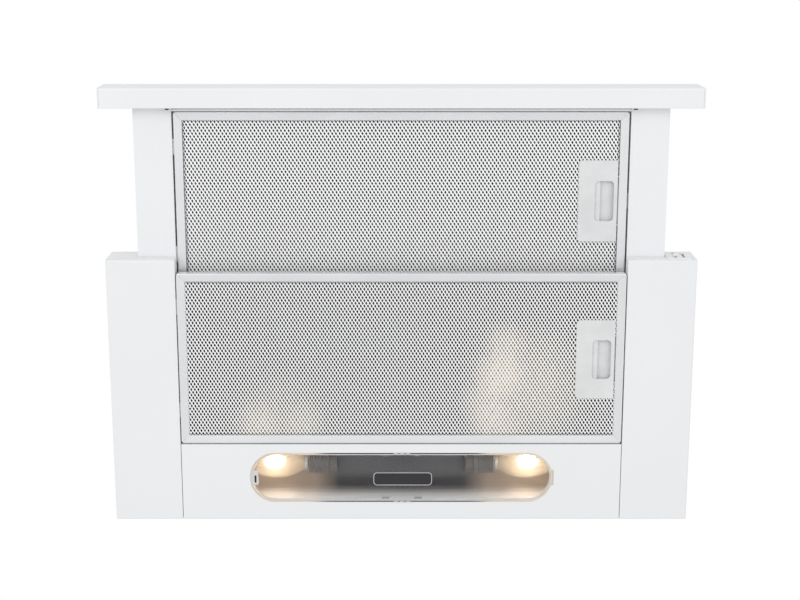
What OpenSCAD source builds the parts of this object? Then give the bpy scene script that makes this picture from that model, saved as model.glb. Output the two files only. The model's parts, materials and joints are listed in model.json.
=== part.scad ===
// Pull out range hood with its drawer drawn out. All sizes are in millimetres.
// +X is the user's right, -Y faces the user and +Z is up. The origin is the middle of the
// four cabinet screws, on the face that meets the underside of the wall cabinet.

/* [Base] */
// Width over the two wing panels
base_w = 598; // [580:1:640]
// Depth from the front edge to the back wall
base_d = 278; // [270:1:310]
// Height from the underside to the cabinet face
base_h = 43; // [42:0.5:48]
// Wall of the moulded wing and lamp panels
panel_t = 2.5; // [2:0.1:3]
// Rounding along the lower outer edges
edge_r = 2; // [1:0.25:3]
// Folded steel sheet of the chassis and the drawer
sheet_t = 1.2; // [0.8:0.1:1.4]
// Cabinet screws, left to right
screw_x = 554; // [550:1:556]
// Cabinet screws, front to back
screw_y = 190; // [160:2:200]
// Radius of each cabinet screw hole
screw_r = 2.25; // [1.75:0.25:2.5]

/* [Drawer] */
// How far the drawer slides in from the drawn out rest
travel = 150; // [120:1:150]
// Gap left between fascia and base once the drawer is shut
close_gap = 2.5; // [2.4:0.1:4]
// Outer width over the two drawer sides
draw_w = 536; // [530:1:537]
// Height of the drawer's underside above the hood's underside
draw_lift = 17; // [15.5:0.5:17.5]
// Height of the drawer sides
draw_h = 20; // [19:0.5:20]
// Width of the fascia
fascia_w = 600; // [590:1:650]
// Depth of the fascia
fascia_t = 20; // [16:1:30]
// Height of the fascia
fascia_h = 45; // [44:1:60]
// Wall of the fascia profile
fascia_wall = 1.5; // [1:0.1:2]
// Height of the fascia's lower edge above the hood's underside
fascia_lift = 2.5; // [0:0.5:3]

/* [Grease filters] */
// Length of a cassette, left to right
cass_l = 456; // [440:1:458]
// Width of a cassette, front to back
cass_w = 180.4; // [176:0.1:182]
// Thickness of a cassette
cass_t = 9; // [8.8:0.1:10]
// Visible rim of the cassette frame
rim = 9; // [7:0.5:11]
// From the base's front edge to the rear cassette
rear_set = 13.7; // [11.4:0.1:15]
// Travel of a cassette latch
latch_go = 5; // [3:0.5:5]

/* [Lamp] */
// Length of the lamp lens
lens_l = 314.4; // [290:0.2:330]
// Width of the lamp lens
lens_w = 52.8; // [48:0.2:54]
// Distance of the lens centre line from the back of the base
lens_back = 46.4; // [44:0.2:48]
// Radius of a lamp bulb
bulb_r = 17.5; // [14:0.5:17.5]
// Distance of each bulb's middle from the centre of the hood
bulb_x = 133; // [125:1:138]

/* [Motor housing] */
// Width of the upper housing
house_w = 520; // [500:1:524]
// Depth of the upper housing
house_d = 256; // [250:1:256]
// Height of the upper housing above the cabinet face
house_h = 137; // [132:1:160]
// Radius of the air outlet collar
duct_r = 60; // [57:0.5:62]
// Length of the collar over which the duct slides
duct_l = 30; // [20:1:40]
// Number of impeller blades
blades = 36; // [24:1:40]
// Outer radius of the impeller
wheel_r = 76; // [70:1:78]
// Height of the impeller
wheel_h = 58; // [50:1:58]

/* [Controls] */
// Sideways place of the speed slider
speed_x = 278.3; // [277:0.1:279]
// Sideways place of the light slider
light_x = 287.1; // [286:0.1:288]
// Height of the speed slider below the cabinet face
speed_z = 27; // [26:0.5:28]
// Height of the light slider below the cabinet face
light_z = 16; // [15:0.5:17]

/* [Hidden] */
$fn = 48;
e = 1;                       // how far a cutting tool runs past the face that it cuts
fit = 0.1;                   // pieces that seat against each other
slack = 0.3;                 // pieces that lie close without touching
// places that several pieces share
front_y = -base_d / 2;
back_y = base_d / 2;
under_z = -base_h;
cass_gap = 1;                                 // cassette to the wall beside it
bay_x = cass_l / 2 + cass_gap;                // inner face of each wing panel
rear_y = front_y + rear_set;                  // front edge of the rear cassette
lamp_y = rear_y + cass_w + 1.1;               // front edge of the lamp panel
deck_x = base_w / 2 - panel_t - fit;          // edge of the chassis deck
deck_y = base_d / 2 - panel_t - fit;
draw_z = under_z + draw_lift;                 // underside of the drawer sides
draw_top = draw_z + draw_h;
draw_gap = 0.6;                               // drawer side to the wing it passes
fascia_y = front_y - travel - close_gap;      // back face of the fascia, drawer out
fascia_z = under_z + fascia_lift;
web_x = bay_x + 0.5;                          // inner face of a drawer side
side_end = front_y + 119;                     // rear end of the drawer sides
cass_set = 5;                                 // fascia to the front cassette
drawn_y = fascia_y + cass_set;                // front edge of the front cassette
drawn_z = draw_z + 1;                         // underside of the front cassette
wing_floor = 1.5;                             // drawer side to the wing's inner wall
// drawer rails, as distances from the inner face of a drawer side
rail_web = 1.2;
rail_neck = 6.3;
rail_head = 7.7;
channel_in = 4.7;
channel_out = 13.5;
rail_mid = draw_top - 7;                      // height of the middle of the rails
// cassette, measured up from its own underside
lip = 1.4;
mesh_t = 0.6;
pad_t = cass_t - 3.8;
back_t = 1;
catch_y = cass_w / 2;                         // middle of the handle
handle_w = 39.2;
handle_l = 83;
handle_x = cass_l / 2 - rim - 0.9 - handle_w / 2;
grip_w = 19.1;                                // window for the finger
grip_l = 41;
grip_x = handle_x + 6.5;
latch_z = 4.6;
latch_t = 1.2;
latch_w = 16;
latch_out = 3.5;                              // tongue past the end of the cassette
tab_at = 55;                                  // tabs to either side of the middle
tab_z = 2.8;
tab_t = 1.2;
tab_w = 16;
tab_out = 4.5;
bead_r = 0.8;
// lamp
lens_y = back_y - lens_back;
lens_rim = 3.5;
lens_t = 1.6;
lens_gap = 0.6;
ledge_t = 1.2;
bulb_y = lens_y - 6.6;
bulb_z = under_z + 21;
tray_x = lens_l / 2 + 20.8;
tray_y0 = lens_y - lens_w / 2 - 6.2;
tray_y1 = lens_y + lens_w / 2 + 6.8;
tray_top = -3.2;
socket_r = 13;
// fan, seen from above; the scroll grows clockwise from its tongue
house_y = back_y - 2 - house_d / 2;           // middle of the housing, front to back
fan_x = -112;
fan_y = house_y - 13;
eye_r = wheel_r - 16;
tongue = 36;                                  // bearing of the scroll's tongue
turn = 270 + tongue;                          // angle over which the scroll grows
scroll_r0 = wheel_r + 8;
scroll_r1 = wheel_r + 52;
scroll_h = wheel_h + 16;
scroll_t = 2;
duct_x = 0;
duct_y = house_y + house_d / 2 - duct_r - 11;
box_w = 2 * duct_r + 8;
flap_z = house_h + 9;
shaft_r = 4;
house_t = 1;
house_r = 6;
flange_w = 9;
// controls
bezel_t = 1.2;
slot_z = -22;
slot_l = 26;
slot_w = 2.6;
bezel_w = 25;
bezel_h = 32;
bezel_x = (speed_x + light_x) / 2 - 0.6;

// ---------------------------------------------------------------- shared shapes

function unit(v) = v / norm(v);
function left_of(a, b) = let (d = unit(b - a)) [-d[1], d[0]];
// a folded sheet's second face: each corner of the path moved t to its left
function offset_corner(p, i, t) =
    i == 0 ? p[0] + t * left_of(p[0], p[1]) :
    i == len(p) - 1 ? p[i] + t * left_of(p[i - 1], p[i]) :
    let (a = left_of(p[i - 1], p[i]), b = left_of(p[i], p[i + 1]))
        p[i] + t * (a + b) / (1 + a * b);
function arc(c, r, a0, a1, n) =
    [for (i = [0:n]) c + r * [cos(a0 + (a1 - a0) * i / n), sin(a0 + (a1 - a0) * i / n)]];

module folded(path, t) {
    polygon(concat(path, [for (i = [len(path) - 1:-1:0]) offset_corner(path, i, t)]));
}

module slab(lo, hi) {
    translate(lo) cube(hi - lo);
}

// a profile in X and Z, run from y0 to y1
module along_y(y0, y1) {
    translate([0, y1, 0]) rotate([90, 0, 0]) linear_extrude(y1 - y0) children();
}

// a profile in Y and Z, run from x0 to x1
module along_x(x0, x1) {
    translate([x0, 0, 0]) rotate([90, 0, 90]) linear_extrude(x1 - x0) children();
}

module rounded(w, d, r) {
    square([w - 2 * r, d], center = true);
    square([w, d - 2 * r], center = true);
    for (x = [-1, 1], y = [-1, 1]) {
        translate([x * (w / 2 - r), y * (d / 2 - r)]) circle(r);
    }
}

module capsule(l, w) {
    square([l - w, w], center = true);
    for (x = [-1, 1]) translate([x * (l - w) / 2, 0]) circle(w / 2);
}

module both_sides() {
    children();
    mirror([1, 0, 0]) children();
}

// a pan head screw pointing down, its head on z = 0
module screw(r, l) {
    translate([0, 0, -l]) cylinder(r = r, h = l);
    difference() {
        cylinder(r = 2.2 * r, h = 1.2 * r);
        for (a = [0, 90]) {
            rotate(a) translate([-1.4 * r, -0.25 * r, 0.6 * r]) cube([2.8 * r, 0.5 * r, r]);
        }
    }
}

// ---------------------------------------------------------------- base

// the base seen from the side, with its lower edges rounded
module base_side() {
    polygon(concat([[front_y, 0]],
        arc([front_y + edge_r, under_z + edge_r], edge_r, 180, 270, 5),
        arc([back_y - edge_r, under_z + edge_r], edge_r, 270, 360, 5),
        [[back_y, 0]]));
}

module base_end() {
    polygon(concat([[bay_x, 0], [bay_x, under_z]],
        arc([base_w / 2 - edge_r, under_z + edge_r], edge_r, 270, 360, 5),
        [[base_w / 2, 0]]));
}

boss_x = base_w / 2 - 11;
boss_ys = [-100, 0, 100];
rib_ys = [-92, -46, 46, 92];
boss_r = 4;
pilot_r = 1.5;

// the right hand wing; the left one is its mirror image with pockets in place of the catch
module wing() {
    inner_top = draw_z - wing_floor;
    difference() {
        intersection() {
            along_y(front_y - e, back_y + e) base_end();
            along_x(bay_x - e, base_w / 2 + e) base_side();
        }
        slab([bay_x + panel_t, front_y + panel_t, under_z + panel_t],
            [base_w / 2 - panel_t, back_y - panel_t, e]);
        // the drawer side comes out through the front wall
        slab([bay_x - e, front_y - e, draw_z - draw_gap],
            [draw_w / 2 + draw_gap, front_y + panel_t + e, e]);
        slab([bay_x - e, front_y - e, inner_top],
            [bay_x + panel_t + 0.01, back_y - panel_t, e]);
    }
    for (y = boss_ys) {
        difference() {
            translate([boss_x, y, under_z + panel_t]) {
                cylinder(r = boss_r, h = base_h - panel_t - sheet_t);
            }
            translate([boss_x, y, -sheet_t - 14]) cylinder(r = pilot_r, h = 14 + e);
        }
    }
    for (y = rib_ys) {
        slab([bay_x + panel_t, y - 0.8, under_z + panel_t],
            [base_w / 2 - panel_t, y + 0.8, inner_top - 1]);
    }
    // shelves that stop the rear cassette from rising
    for (y = [rear_y + 26, rear_y + cass_w / 2 + 32, rear_y + cass_w - 26]) {
        slab([bay_x - 2.4, y, under_z + cass_t + slack],
            [bay_x + 0.01, y + 14, under_z + cass_t + slack + 1.2]);
    }
}

module wing_left() {
    color("white") difference() {
        mirror([1, 0, 0]) wing();
        for (s = [-1, 1]) {
            slab([-bay_x - panel_t - e, rear_y + cass_w / 2 + s * tab_at - tab_w / 2 - 1,
                    under_z + tab_z - slack],
                [-bay_x + e, rear_y + cass_w / 2 + s * tab_at + tab_w / 2 + 1,
                    under_z + tab_z + tab_t + 3.4]);
        }
    }
}

module wing_right() {
    color("white") difference() {
        wing();
        slab([bay_x - e, rear_y + catch_y - latch_w / 2 - 1, under_z + latch_z - slack],
            [bay_x + panel_t + e, rear_y + catch_y + latch_w / 2 + 1,
                under_z + latch_z + latch_t + 1.5]);
        // window of the controls
        along_y(front_y - e, front_y + panel_t + e) {
            translate([bezel_x, slot_z]) rounded(bezel_w - 3, bezel_h - 3, 1.5);
        }
    }
}

deck_drop = 14;
flange_front = draw_top + 1;

module deck_hole(x, y, r) {
    translate([x, y, -3 * sheet_t]) cylinder(r = r, h = 4 * sheet_t);
}

// an open tray, its edges turned down, with an angle on each side to carry a fixed rail
module chassis() {
    hanger_x = web_x + channel_out;
    color("gainsboro") difference() {
        union() {
            difference() {
                translate([0, 0, -deck_drop]) linear_extrude(deck_drop) {
                    rounded(2 * deck_x, 2 * deck_y, 2);
                }
                translate([0, 0, -deck_drop - e]) linear_extrude(deck_drop - sheet_t + e) {
                    rounded(2 * (deck_x - sheet_t), 2 * (deck_y - sheet_t), 1);
                }
                // the front flange stops above the drawer
                slab([-deck_x - e, -deck_y - e, -deck_drop - e],
                    [deck_x + e, -deck_y + 8, flange_front]);
            }
            both_sides() along_y(front_y + 6, back_y - 6) {
                folded([[hanger_x + 11, -sheet_t], [hanger_x, -sheet_t],
                    [hanger_x, rail_mid - 7]], sheet_t);
            }
        }
        deck_hole(fan_x, fan_y, eye_r + 6);
        for (x = [-1, 1], y = [-1, 1]) deck_hole(x * screw_x / 2, y * screw_y / 2, screw_r);
        for (x = [-1, 1], y = boss_ys) deck_hole(x * boss_x, y, pilot_r + fit);
        for (p = flange_screws) deck_hole(p[0], p[1], pilot_r + fit);
        // ways for the wires from the sliders and from the lamps
        deck_hole(hanger_x + 6, -60, 4);
        deck_hole(gland_x, house_y + 21, 8);
    }
}

// C channel of the right hand fixed rail, with a stop for the drawer's front glide
module rail_outer() {
    x0 = web_x + channel_in;
    x1 = web_x + channel_out;
    color("silver") {
        along_y(front_y + 6, back_y - 6) {
            folded([[x0, rail_mid + 2.6], [x0, rail_mid + 7], [x1, rail_mid + 7],
                [x1, rail_mid - 7], [x0, rail_mid - 7], [x0, rail_mid - 2.6]], -rail_web);
        }
        slab([x0 + 4, front_y + 6, rail_mid - 5.8], [x1 - rail_web, front_y + 9, rail_mid + 5.8]);
    }
}

module rail_outer_right() {
    rail_outer();
}

module rail_outer_left() {
    mirror([1, 0, 0]) rail_outer();
}

module base_screws() {
    color("silver") for (x = [-1, 1], y = boss_ys) {
        translate([x * boss_x, y, 0]) screw(pilot_r - fit, 12);
    }
}

lamp_flange = 13;

module lamp_panel() {
    hw = bay_x - draw_gap;
    sheet = 2;
    color("white") difference() {
        union() {
            difference() {
                intersection() {
                    along_x(-hw, hw) base_side();
                    slab([-hw, lamp_y, under_z], [hw, back_y, 0]);
                }
                slab([-hw + 1.8, lamp_y + 1.8, under_z + sheet],
                    [hw - 1.8, back_y - panel_t, e]);
                slab([-hw - e, lamp_y - e, under_z + lamp_flange],
                    [hw + e, back_y - panel_t, e]);
            }
            translate([0, lens_y, under_z + sheet]) {
                linear_extrude(ledge_t) capsule(lens_l + 7, lens_w + 7);
            }
            for (s = [-1, 1], k = [0.24, 0.52]) {
                x = s * (tray_x + k * (hw - tray_x));
                slab([x - 0.8, lamp_y + 1.8, under_z + sheet],
                    [x + 0.8, back_y - panel_t, under_z + 8]);
            }
        }
        translate([0, lens_y, under_z - e]) {
            linear_extrude(e + sheet) capsule(lens_l + 2 * lens_gap, lens_w + 2 * lens_gap);
            linear_extrude(8) capsule(lens_l - 5, lens_w - 5);
        }
        // room for the lens's rim as it tips about its right end
        slab([lens_l / 2 - 4, lens_y - 8.5, under_z - e],
            [lens_l / 2 + 1.6, lens_y + 8.5, under_z + sheet]);
    }
}

// ---------------------------------------------------------------- lamp

module lens_prism(l, w, z0, z1) {
    translate([0, lens_y, z0]) linear_extrude(z1 - z0) capsule(l, w);
}

lens_sag = 1.4;
lens_inner = lens_w - 2 * lens_rim;
crown_r = (lens_inner * lens_inner / 4 + lens_sag * lens_sag) / (2 * lens_sag);

// a trough that bulges down between the rims; inset is how far inside its outer face
module lens_crown(inset) {
    l = lens_l - 2 * lens_rim - 2 * inset;
    intersection() {
        lens_prism(l, lens_inner - 2 * inset, under_z - 6, under_z + 4);
        translate([-lens_l, lens_y, under_z - 0.2 - lens_sag + crown_r]) {
            rotate([0, 90, 0]) cylinder(r = crown_r - inset, h = 2 * lens_l, $fn = 96);
        }
    }
}

module lens() {
    rim_z0 = under_z - 0.2;
    rim_z1 = under_z + 1.7;
    skirt = 1.4;
    color("dimgray", 0.6) {
        difference() {
            union() {
                lens_prism(lens_l, lens_w, rim_z0, rim_z1);
                intersection() {
                    lens_crown(0);
                    lens_prism(lens_l, lens_w, under_z - 6, rim_z1);
                }
                lens_prism(lens_l - 6, lens_w - 6, rim_z1, under_z + 6);
            }
            intersection() {
                lens_crown(lens_t);
                lens_prism(lens_l, lens_w, under_z - 6, under_z + 8);
            }
            lens_prism(lens_l - 6 - 2 * skirt, lens_w - 6 - 2 * skirt, rim_z0 + lens_t,
                under_z + 7);
            // notch at the left end, under which a finger pushes the lens free
            slab([-lens_l / 2 - e, lens_y - 8, rim_z0 - e],
                [-lens_l / 2 + 2.8, lens_y + 8, rim_z1 + 0.01]);
        }
        // bead at the right end, on which the lens tips
        translate([lens_l / 2 - 0.7, lens_y - 2, under_z + 0.7]) {
            rotate([-90, 0, 0]) cylinder(r = 0.9, h = 4);
        }
        // barbs that hold the middle of each long edge over the ledge
        for (x = [-17, 17], s = [-1, 1]) {
            slab([x - 4, lens_y + s * (lens_w / 2 - 2.7) - 0.9, under_z + 3.6],
                [x + 4, lens_y + s * (lens_w / 2 - 2.7) + 0.9, under_z + 4.6]);
        }
        // bare raised frame of the plate on the lens
        translate([0, lens_y + 1.2, rim_z0 - lens_sag - 0.1]) linear_extrude(0.8) {
            difference() {
                rounded(62, 14.7, 4);
                rounded(60.6, 13.3, 3.4);
            }
        }
    }
}

module lamp_tray() {
    color("silver") difference() {
        union() {
            along_x(-tray_x, tray_x) {
                folded([[tray_y0, under_z + 2], [tray_y0, tray_top - 7],
                    [tray_y0 + 7, tray_top], [tray_y1 - 7, tray_top],
                    [tray_y1, tray_top - 7], [tray_y1, under_z + 2]], -0.8);
            }
            both_sides() along_x(tray_x - 0.8, tray_x) {
                polygon([[tray_y0, under_z + 2], [tray_y0, tray_top - 7],
                    [tray_y0 + 7, tray_top], [tray_y1 - 7, tray_top],
                    [tray_y1, tray_top - 7], [tray_y1, under_z + 2]]);
            }
        }
        // louvres that let the lamps' heat out to the air stream
        for (s = [-1, 1], i = [-2:2]) {
            slab([s * bulb_x + i * 13 - 4.5, tray_y0 - e, -33],
                [s * bulb_x + i * 13 + 4.5, tray_y0 + e, -13]);
        }
        for (s = [-1, 1]) {
            translate([s * 40, lens_y, tray_top - 2]) cylinder(r = 6, h = 4);
        }
    }
}

glass_l = 68;
glass_x = bulb_x - glass_l / 2 + 2;
// candle shape, from the neck to the pointed tip
function candle(t) = bulb_r * pow(sin(180 * pow(t, 0.8)), 0.62);

// right hand bulb, lying along X with its cap towards the middle
module bulb() {
    translate([glass_x, bulb_y, bulb_z]) rotate([0, 90, 0]) {
        color("lemonchiffon") rotate_extrude() {
            polygon(concat([[0, 0], [6.6, 0]],
                [for (i = [2:15]) [max(6.6, candle(i / 16)), glass_l * i / 16]],
                [[1.5, glass_l - 1], [0, glass_l]]));
        }
        color("silver") translate([0, 0, -22]) {
            translate([0, 0, 2.5]) cylinder(r = 6.8, h = 20);
            cylinder(r = 3.4, h = 3);
        }
    }
}

module bulb_right() {
    bulb();
}

module bulb_left() {
    mirror([1, 0, 0]) bulb();
}

// socket of the right hand bulb, hung from the tray by its foot
module holder() {
    color("dimgray") translate([glass_x, bulb_y, bulb_z]) {
        rotate([0, 90, 0]) translate([0, 0, -34]) difference() {
            union() {
                cylinder(r = socket_r, h = 30);
                translate([0, 0, 24]) cylinder(r = socket_r + 1.6, h = 3);
            }
            translate([0, 0, 12 - slack]) cylinder(r = 6.8 + slack, h = 30);
            for (a = [0:45:315]) {
                rotate(a) translate([socket_r, 0, 4]) cylinder(r = 1, h = 16);
            }
        }
        slab([-32, -6, socket_r - 2], [-14, 6, tray_top - 0.8 - bulb_z]);
    }
}

module holder_right() {
    holder();
}

module holder_left() {
    mirror([1, 0, 0]) holder();
}

// ---------------------------------------------------------------- controls

module control_bezel() {
    color("white") difference() {
        union() {
            along_y(front_y - bezel_t, front_y) {
                translate([bezel_x, slot_z]) rounded(bezel_w, bezel_h, 2);
            }
            along_y(front_y, front_y + panel_t + 1) {
                translate([bezel_x, slot_z]) rounded(bezel_w - 3.4, bezel_h - 3.4, 1.3);
            }
        }
        for (x = [speed_x, light_x]) {
            along_y(front_y - bezel_t - e, front_y + panel_t + 2) {
                translate([x, slot_z]) rotate(90) capsule(slot_l, slot_w);
            }
            // bare marks beside the slider's places
            for (i = [0:3]) {
                along_y(front_y - bezel_t - e, front_y - bezel_t + 0.3) {
                    translate([x - 3, -speed_z - 5 + 5 * i]) circle(0.4, $fn = 16);
                }
            }
        }
    }
}

module switch_box() {
    y0 = front_y + panel_t + 5;
    color("dimgray") difference() {
        union() {
            slab([bezel_x - 10.5, y0, under_z + panel_t], [bezel_x + 10.5, y0 + 18, -7]);
            slab([bezel_x - 7, y0 + 18, -34], [bezel_x + 7, y0 + 20, -12]);
            for (x = [-5, 0, 5], z = [-30, -22, -14]) {
                slab([bezel_x + x - 0.4, y0 + 20, z - 2.4], [bezel_x + x + 0.4, y0 + 26, z + 2.4]);
            }
        }
        for (x = [speed_x, light_x]) {
            slab([x - slot_w / 2, y0 - e, slot_z - slot_l / 2],
                [x + slot_w / 2, y0 + 7, slot_z + slot_l / 2]);
        }
    }
}

// a slider knob with grip ridges, its stem reaching into the switch
module knob(x, z) {
    face = front_y - bezel_t - slack;
    proud = 1.7;
    color("whitesmoke") translate([x, face, z]) {
        difference() {
            along_y(-proud, 0) rounded(4.2, 5.4, 0.8);
            for (i = [-1:1]) {
                slab([-3, -proud - e, i * 1.5 - 0.3], [3, 0.4 - proud, i * 1.5 + 0.3]);
            }
        }
        slab([-0.9, 0, -2], [0.9, bezel_t + slack + panel_t + 10, 2]);
    }
}

module speed_knob() {
    knob(speed_x, -speed_z);
}

module light_knob() {
    knob(light_x, -light_z);
}

// ---------------------------------------------------------------- upper housing

flange_screws = concat([for (s = [-1, 1], y = [-90, 0, 90]) [s * (house_w / 2 + 4.6), house_y + y]],
    [for (x = [-200, -70, 70, 200]) [x, house_y - house_d / 2 - 4.6]]);
lid_ys = [-80, 80];

module housing_shell() {
    color("white") difference() {
        union() {
            translate([0, house_y, 0]) linear_extrude(house_h - house_t) {
                rounded(house_w, house_d, house_r);
            }
            linear_extrude(house_t) difference() {
                translate([0, house_y]) {
                    rounded(house_w + 2 * flange_w, house_d + 2 * flange_w, house_r);
                }
                translate([-house_w, house_y + house_d / 2]) square([2 * house_w, 2 * flange_w]);
            }
        }
        translate([0, house_y, -e]) linear_extrude(house_h + 2 * e) {
            rounded(house_w - 2 * house_t, house_d - 2 * house_t, house_r - house_t);
        }
        for (p = flange_screws) {
            translate([p[0], p[1], -e]) cylinder(r = pilot_r + fit, h = house_t + 2 * e);
        }
        for (y = lid_ys) {
            translate([-house_w, house_y + y, house_h - 6]) {
                rotate([0, 90, 0]) cylinder(r = pilot_r + fit, h = 2 * house_w);
            }
        }
    }
}

gland_x = 190;
gland_y = house_y + 91;
gland_r = 8;

module housing_lid() {
    inner = house_t + fit;
    color("white") difference() {
        union() {
            translate([0, house_y, house_h - house_t]) linear_extrude(house_t) {
                rounded(house_w, house_d, house_r);
            }
            translate([0, house_y, house_h - 12]) linear_extrude(12) difference() {
                rounded(house_w - 2 * inner, house_d - 2 * inner, house_r - inner);
                rounded(house_w - 2 * inner - 2 * house_t, house_d - 2 * inner - 2 * house_t,
                    house_r - inner - house_t);
            }
        }
        translate([duct_x, duct_y, house_h - 2 * house_t]) {
            cylinder(r = duct_r - 0.5, h = 3 * house_t, $fn = 96);
        }
        translate([gland_x, gland_y, house_h - 2 * house_t]) {
            cylinder(r = gland_r + fit, h = 3 * house_t);
        }
        for (y = lid_ys) {
            translate([-house_w, house_y + y, house_h - 6]) {
                rotate([0, 90, 0]) cylinder(r = pilot_r + fit, h = 2 * house_w);
            }
        }
    }
}

module housing_screws() {
    color("silver") {
        for (p = flange_screws) {
            translate([p[0], p[1], house_t]) screw(pilot_r - fit, 3.6);
        }
        for (s = [-1, 1], y = lid_ys) {
            translate([s * house_w / 2, house_y + y, house_h - 6]) {
                rotate([0, s * 90, 0]) screw(pilot_r - fit, 5);
            }
        }
    }
}

collar_t = 2;
collar_lip = 10;
seat_r = duct_r - collar_t;

module outlet_collar() {
    top = house_h + 2 + duct_l;
    color("dimgray") difference() {
        translate([duct_x, duct_y, 0]) rotate_extrude($fn = 96) {
            polygon([[seat_r - 0.8, house_h - 9], [duct_r - 0.8, house_h - 9],
                [duct_r - 0.8, house_h], [duct_r + collar_lip, house_h], [duct_r + collar_lip, house_h + 2],
                [duct_r, house_h + 2], [duct_r, top], [seat_r, top],
                [seat_r, flap_z - 1], [seat_r - 3, flap_z - 1], [seat_r - 3, flap_z - 3],
                [seat_r, flap_z - 4.5], [seat_r - 0.8, house_h + 1]]);
        }
        spindle();
    }
}

spindle_r = 1.5;
knuckle_r = 3;
flap_t = 1.2;

module spindle() {
    translate([duct_x, duct_y - seat_r - 1, flap_z]) {
        rotate([-90, 0, 0]) cylinder(r = spindle_r, h = 2 * seat_r + 2);
    }
}

module flap_spindle() {
    color("silver") spindle();
}

// a half disc on two knuckles; at is how far the knuckles stand from the middle
module flap(at) {
    color("gray") translate([duct_x, duct_y, flap_z]) difference() {
        union() {
            difference() {
                translate([0, 0, -flap_t / 2]) {
                    cylinder(r = seat_r - 1.2, h = flap_t, $fn = 96);
                }
                slab([-duct_r, -duct_r, -e], [knuckle_r + 0.8, duct_r, e]);
            }
            for (s = [-1, 1]) {
                slab([0, s * at - 6, -flap_t / 2], [knuckle_r + e, s * at + 6, flap_t / 2]);
                translate([0, s * at - 6, 0]) {
                    rotate([-90, 0, 0]) cylinder(r = knuckle_r, h = 12);
                }
            }
            // stiffening ribs
            for (s = [-1, 0, 1]) {
                slab([knuckle_r + 9, s * 18 - 0.6, 0], [38, s * 18 + 0.6, 2.2]);
            }
        }
        translate([0, -duct_r, 0]) {
            rotate([-90, 0, 0]) cylinder(r = spindle_r + fit, h = 2 * duct_r);
        }
    }
}

module flap_right() {
    flap(10);
}

module flap_left() {
    translate([2 * duct_x, 0, 0]) mirror([1, 0, 0]) flap(32);
}

// air way of the scroll with its walls moved out by t
function scroll_outline(t) = concat(
    [for (i = [0:34]) let (a = tongue - turn * i / 34,
        r = scroll_r0 + (scroll_r1 - scroll_r0) * i / 34 + t)
        [fan_x + r * cos(a), fan_y + r * sin(a)]],
    [[duct_x + box_w / 2 - 2 + t, fan_y + scroll_r1 + t],
    [duct_x + box_w / 2 - 2 + t, fan_y + scroll_r0 * sin(tongue) - t]]);

module scroll_mouth(inset) {
    x0 = fan_x + scroll_r0 + 2;
    y0 = fan_y + scroll_r0 * sin(tongue) + 4;
    slab([x0 + inset, y0 + inset, scroll_h - 6],
        [duct_x + box_w / 2 - 4 - inset, fan_y + scroll_r1 - 4 - inset, scroll_h + 6]);
}

module fan_scroll() {
    color("lightgray") difference() {
        linear_extrude(scroll_h) polygon(scroll_outline(scroll_t));
        translate([0, 0, scroll_t]) {
            linear_extrude(scroll_h - 2 * scroll_t) polygon(scroll_outline(0));
        }
        translate([fan_x, fan_y, -e]) cylinder(r = eye_r + 2, h = scroll_t + 2 * e);
        translate([fan_x, fan_y, scroll_h - scroll_t - e]) {
            cylinder(r = 22, h = scroll_t + 2 * e);
        }
        scroll_mouth(0);
        for (a = grommet_as) {
            translate([fan_x + grommet_at * cos(a), fan_y + grommet_at * sin(a),
                scroll_h - scroll_t - e]) cylinder(r = 3.5, h = scroll_t + 2 * e);
        }
    }
}

// lifts the air from the scroll's mouth to the round collar
module outlet_box() {
    z1 = house_h - house_t;
    lo = [duct_x - box_w / 2, duct_y - box_w / 2, scroll_h];
    hi = [duct_x + box_w / 2, min(duct_y + box_w / 2, back_y - 2 - house_t - 2), z1];
    color("lightgray") difference() {
        slab(lo, hi);
        slab([lo[0] + 2, lo[1] + 2, lo[2] + 2], [hi[0] - 2, hi[1] - 2, hi[2] + e]);
        scroll_mouth(0);
        // room for the motor beside the box
        translate([fan_x, fan_y, scroll_h - e]) cylinder(r = motor_r + 6, h = house_h);
    }
}

module inlet_ring() {
    z0 = -sheet_t;
    rise = 9;
    color("dimgray") translate([fan_x, fan_y, 0]) rotate_extrude($fn = 96) {
        polygon(concat([[eye_r + 14, z0 - 1.4], [eye_r + 14, z0], [eye_r + 1, z0]],
            arc([eye_r + 1, z0 + rise], rise - 1.4, 270, 180, 8),
            [[eye_r - 6.6, z0 + rise + 2], [eye_r - 8, z0 + rise + 2]],
            arc([eye_r + 1, z0 + rise - 0.4], rise, 180, 270, 8)));
    }
}

wheel_z = 8;
blade_n = 5;

// one forward curved blade, as an arc of even thickness
module blade() {
    pts = [for (i = [0:blade_n]) let (t = i / blade_n, r = eye_r + (wheel_r - 1 - eye_r) * t,
        a = 9 * t * t - 2 * t) r * [cos(a), sin(a)]];
    folded(pts, 1.1);
}

module impeller() {
    color("darkslategray") translate([fan_x, fan_y, wheel_z]) {
        difference() {
            union() {
                translate([0, 0, wheel_h - 2]) cylinder(r = wheel_r, h = 2, $fn = 96);
                translate([0, 0, wheel_h - 14]) cylinder(r = 11, h = 16);
                for (a = [0:60:300]) {
                    rotate(a) slab([10, -0.9, wheel_h - 10], [34, 0.9, wheel_h - 1]);
                }
            }
            translate([0, 0, wheel_h - 20]) cylinder(r = shaft_r, h = 30);
            for (a = [30:60:330]) {
                rotate(a) translate([40, 0, wheel_h - 4]) cylinder(r = 6, h = 8);
            }
        }
        for (i = [0:blades - 1]) {
            rotate(360 * i / blades) linear_extrude(wheel_h - 1) blade();
        }
        difference() {
            cylinder(r = wheel_r, h = 2.4, $fn = 96);
            translate([0, 0, -e]) cylinder(r = eye_r + 7, h = 5, $fn = 96);
        }
    }
}

motor_r = 38;
motor_z = scroll_h + 4;
motor_h = house_h - motor_z - 14;

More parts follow.
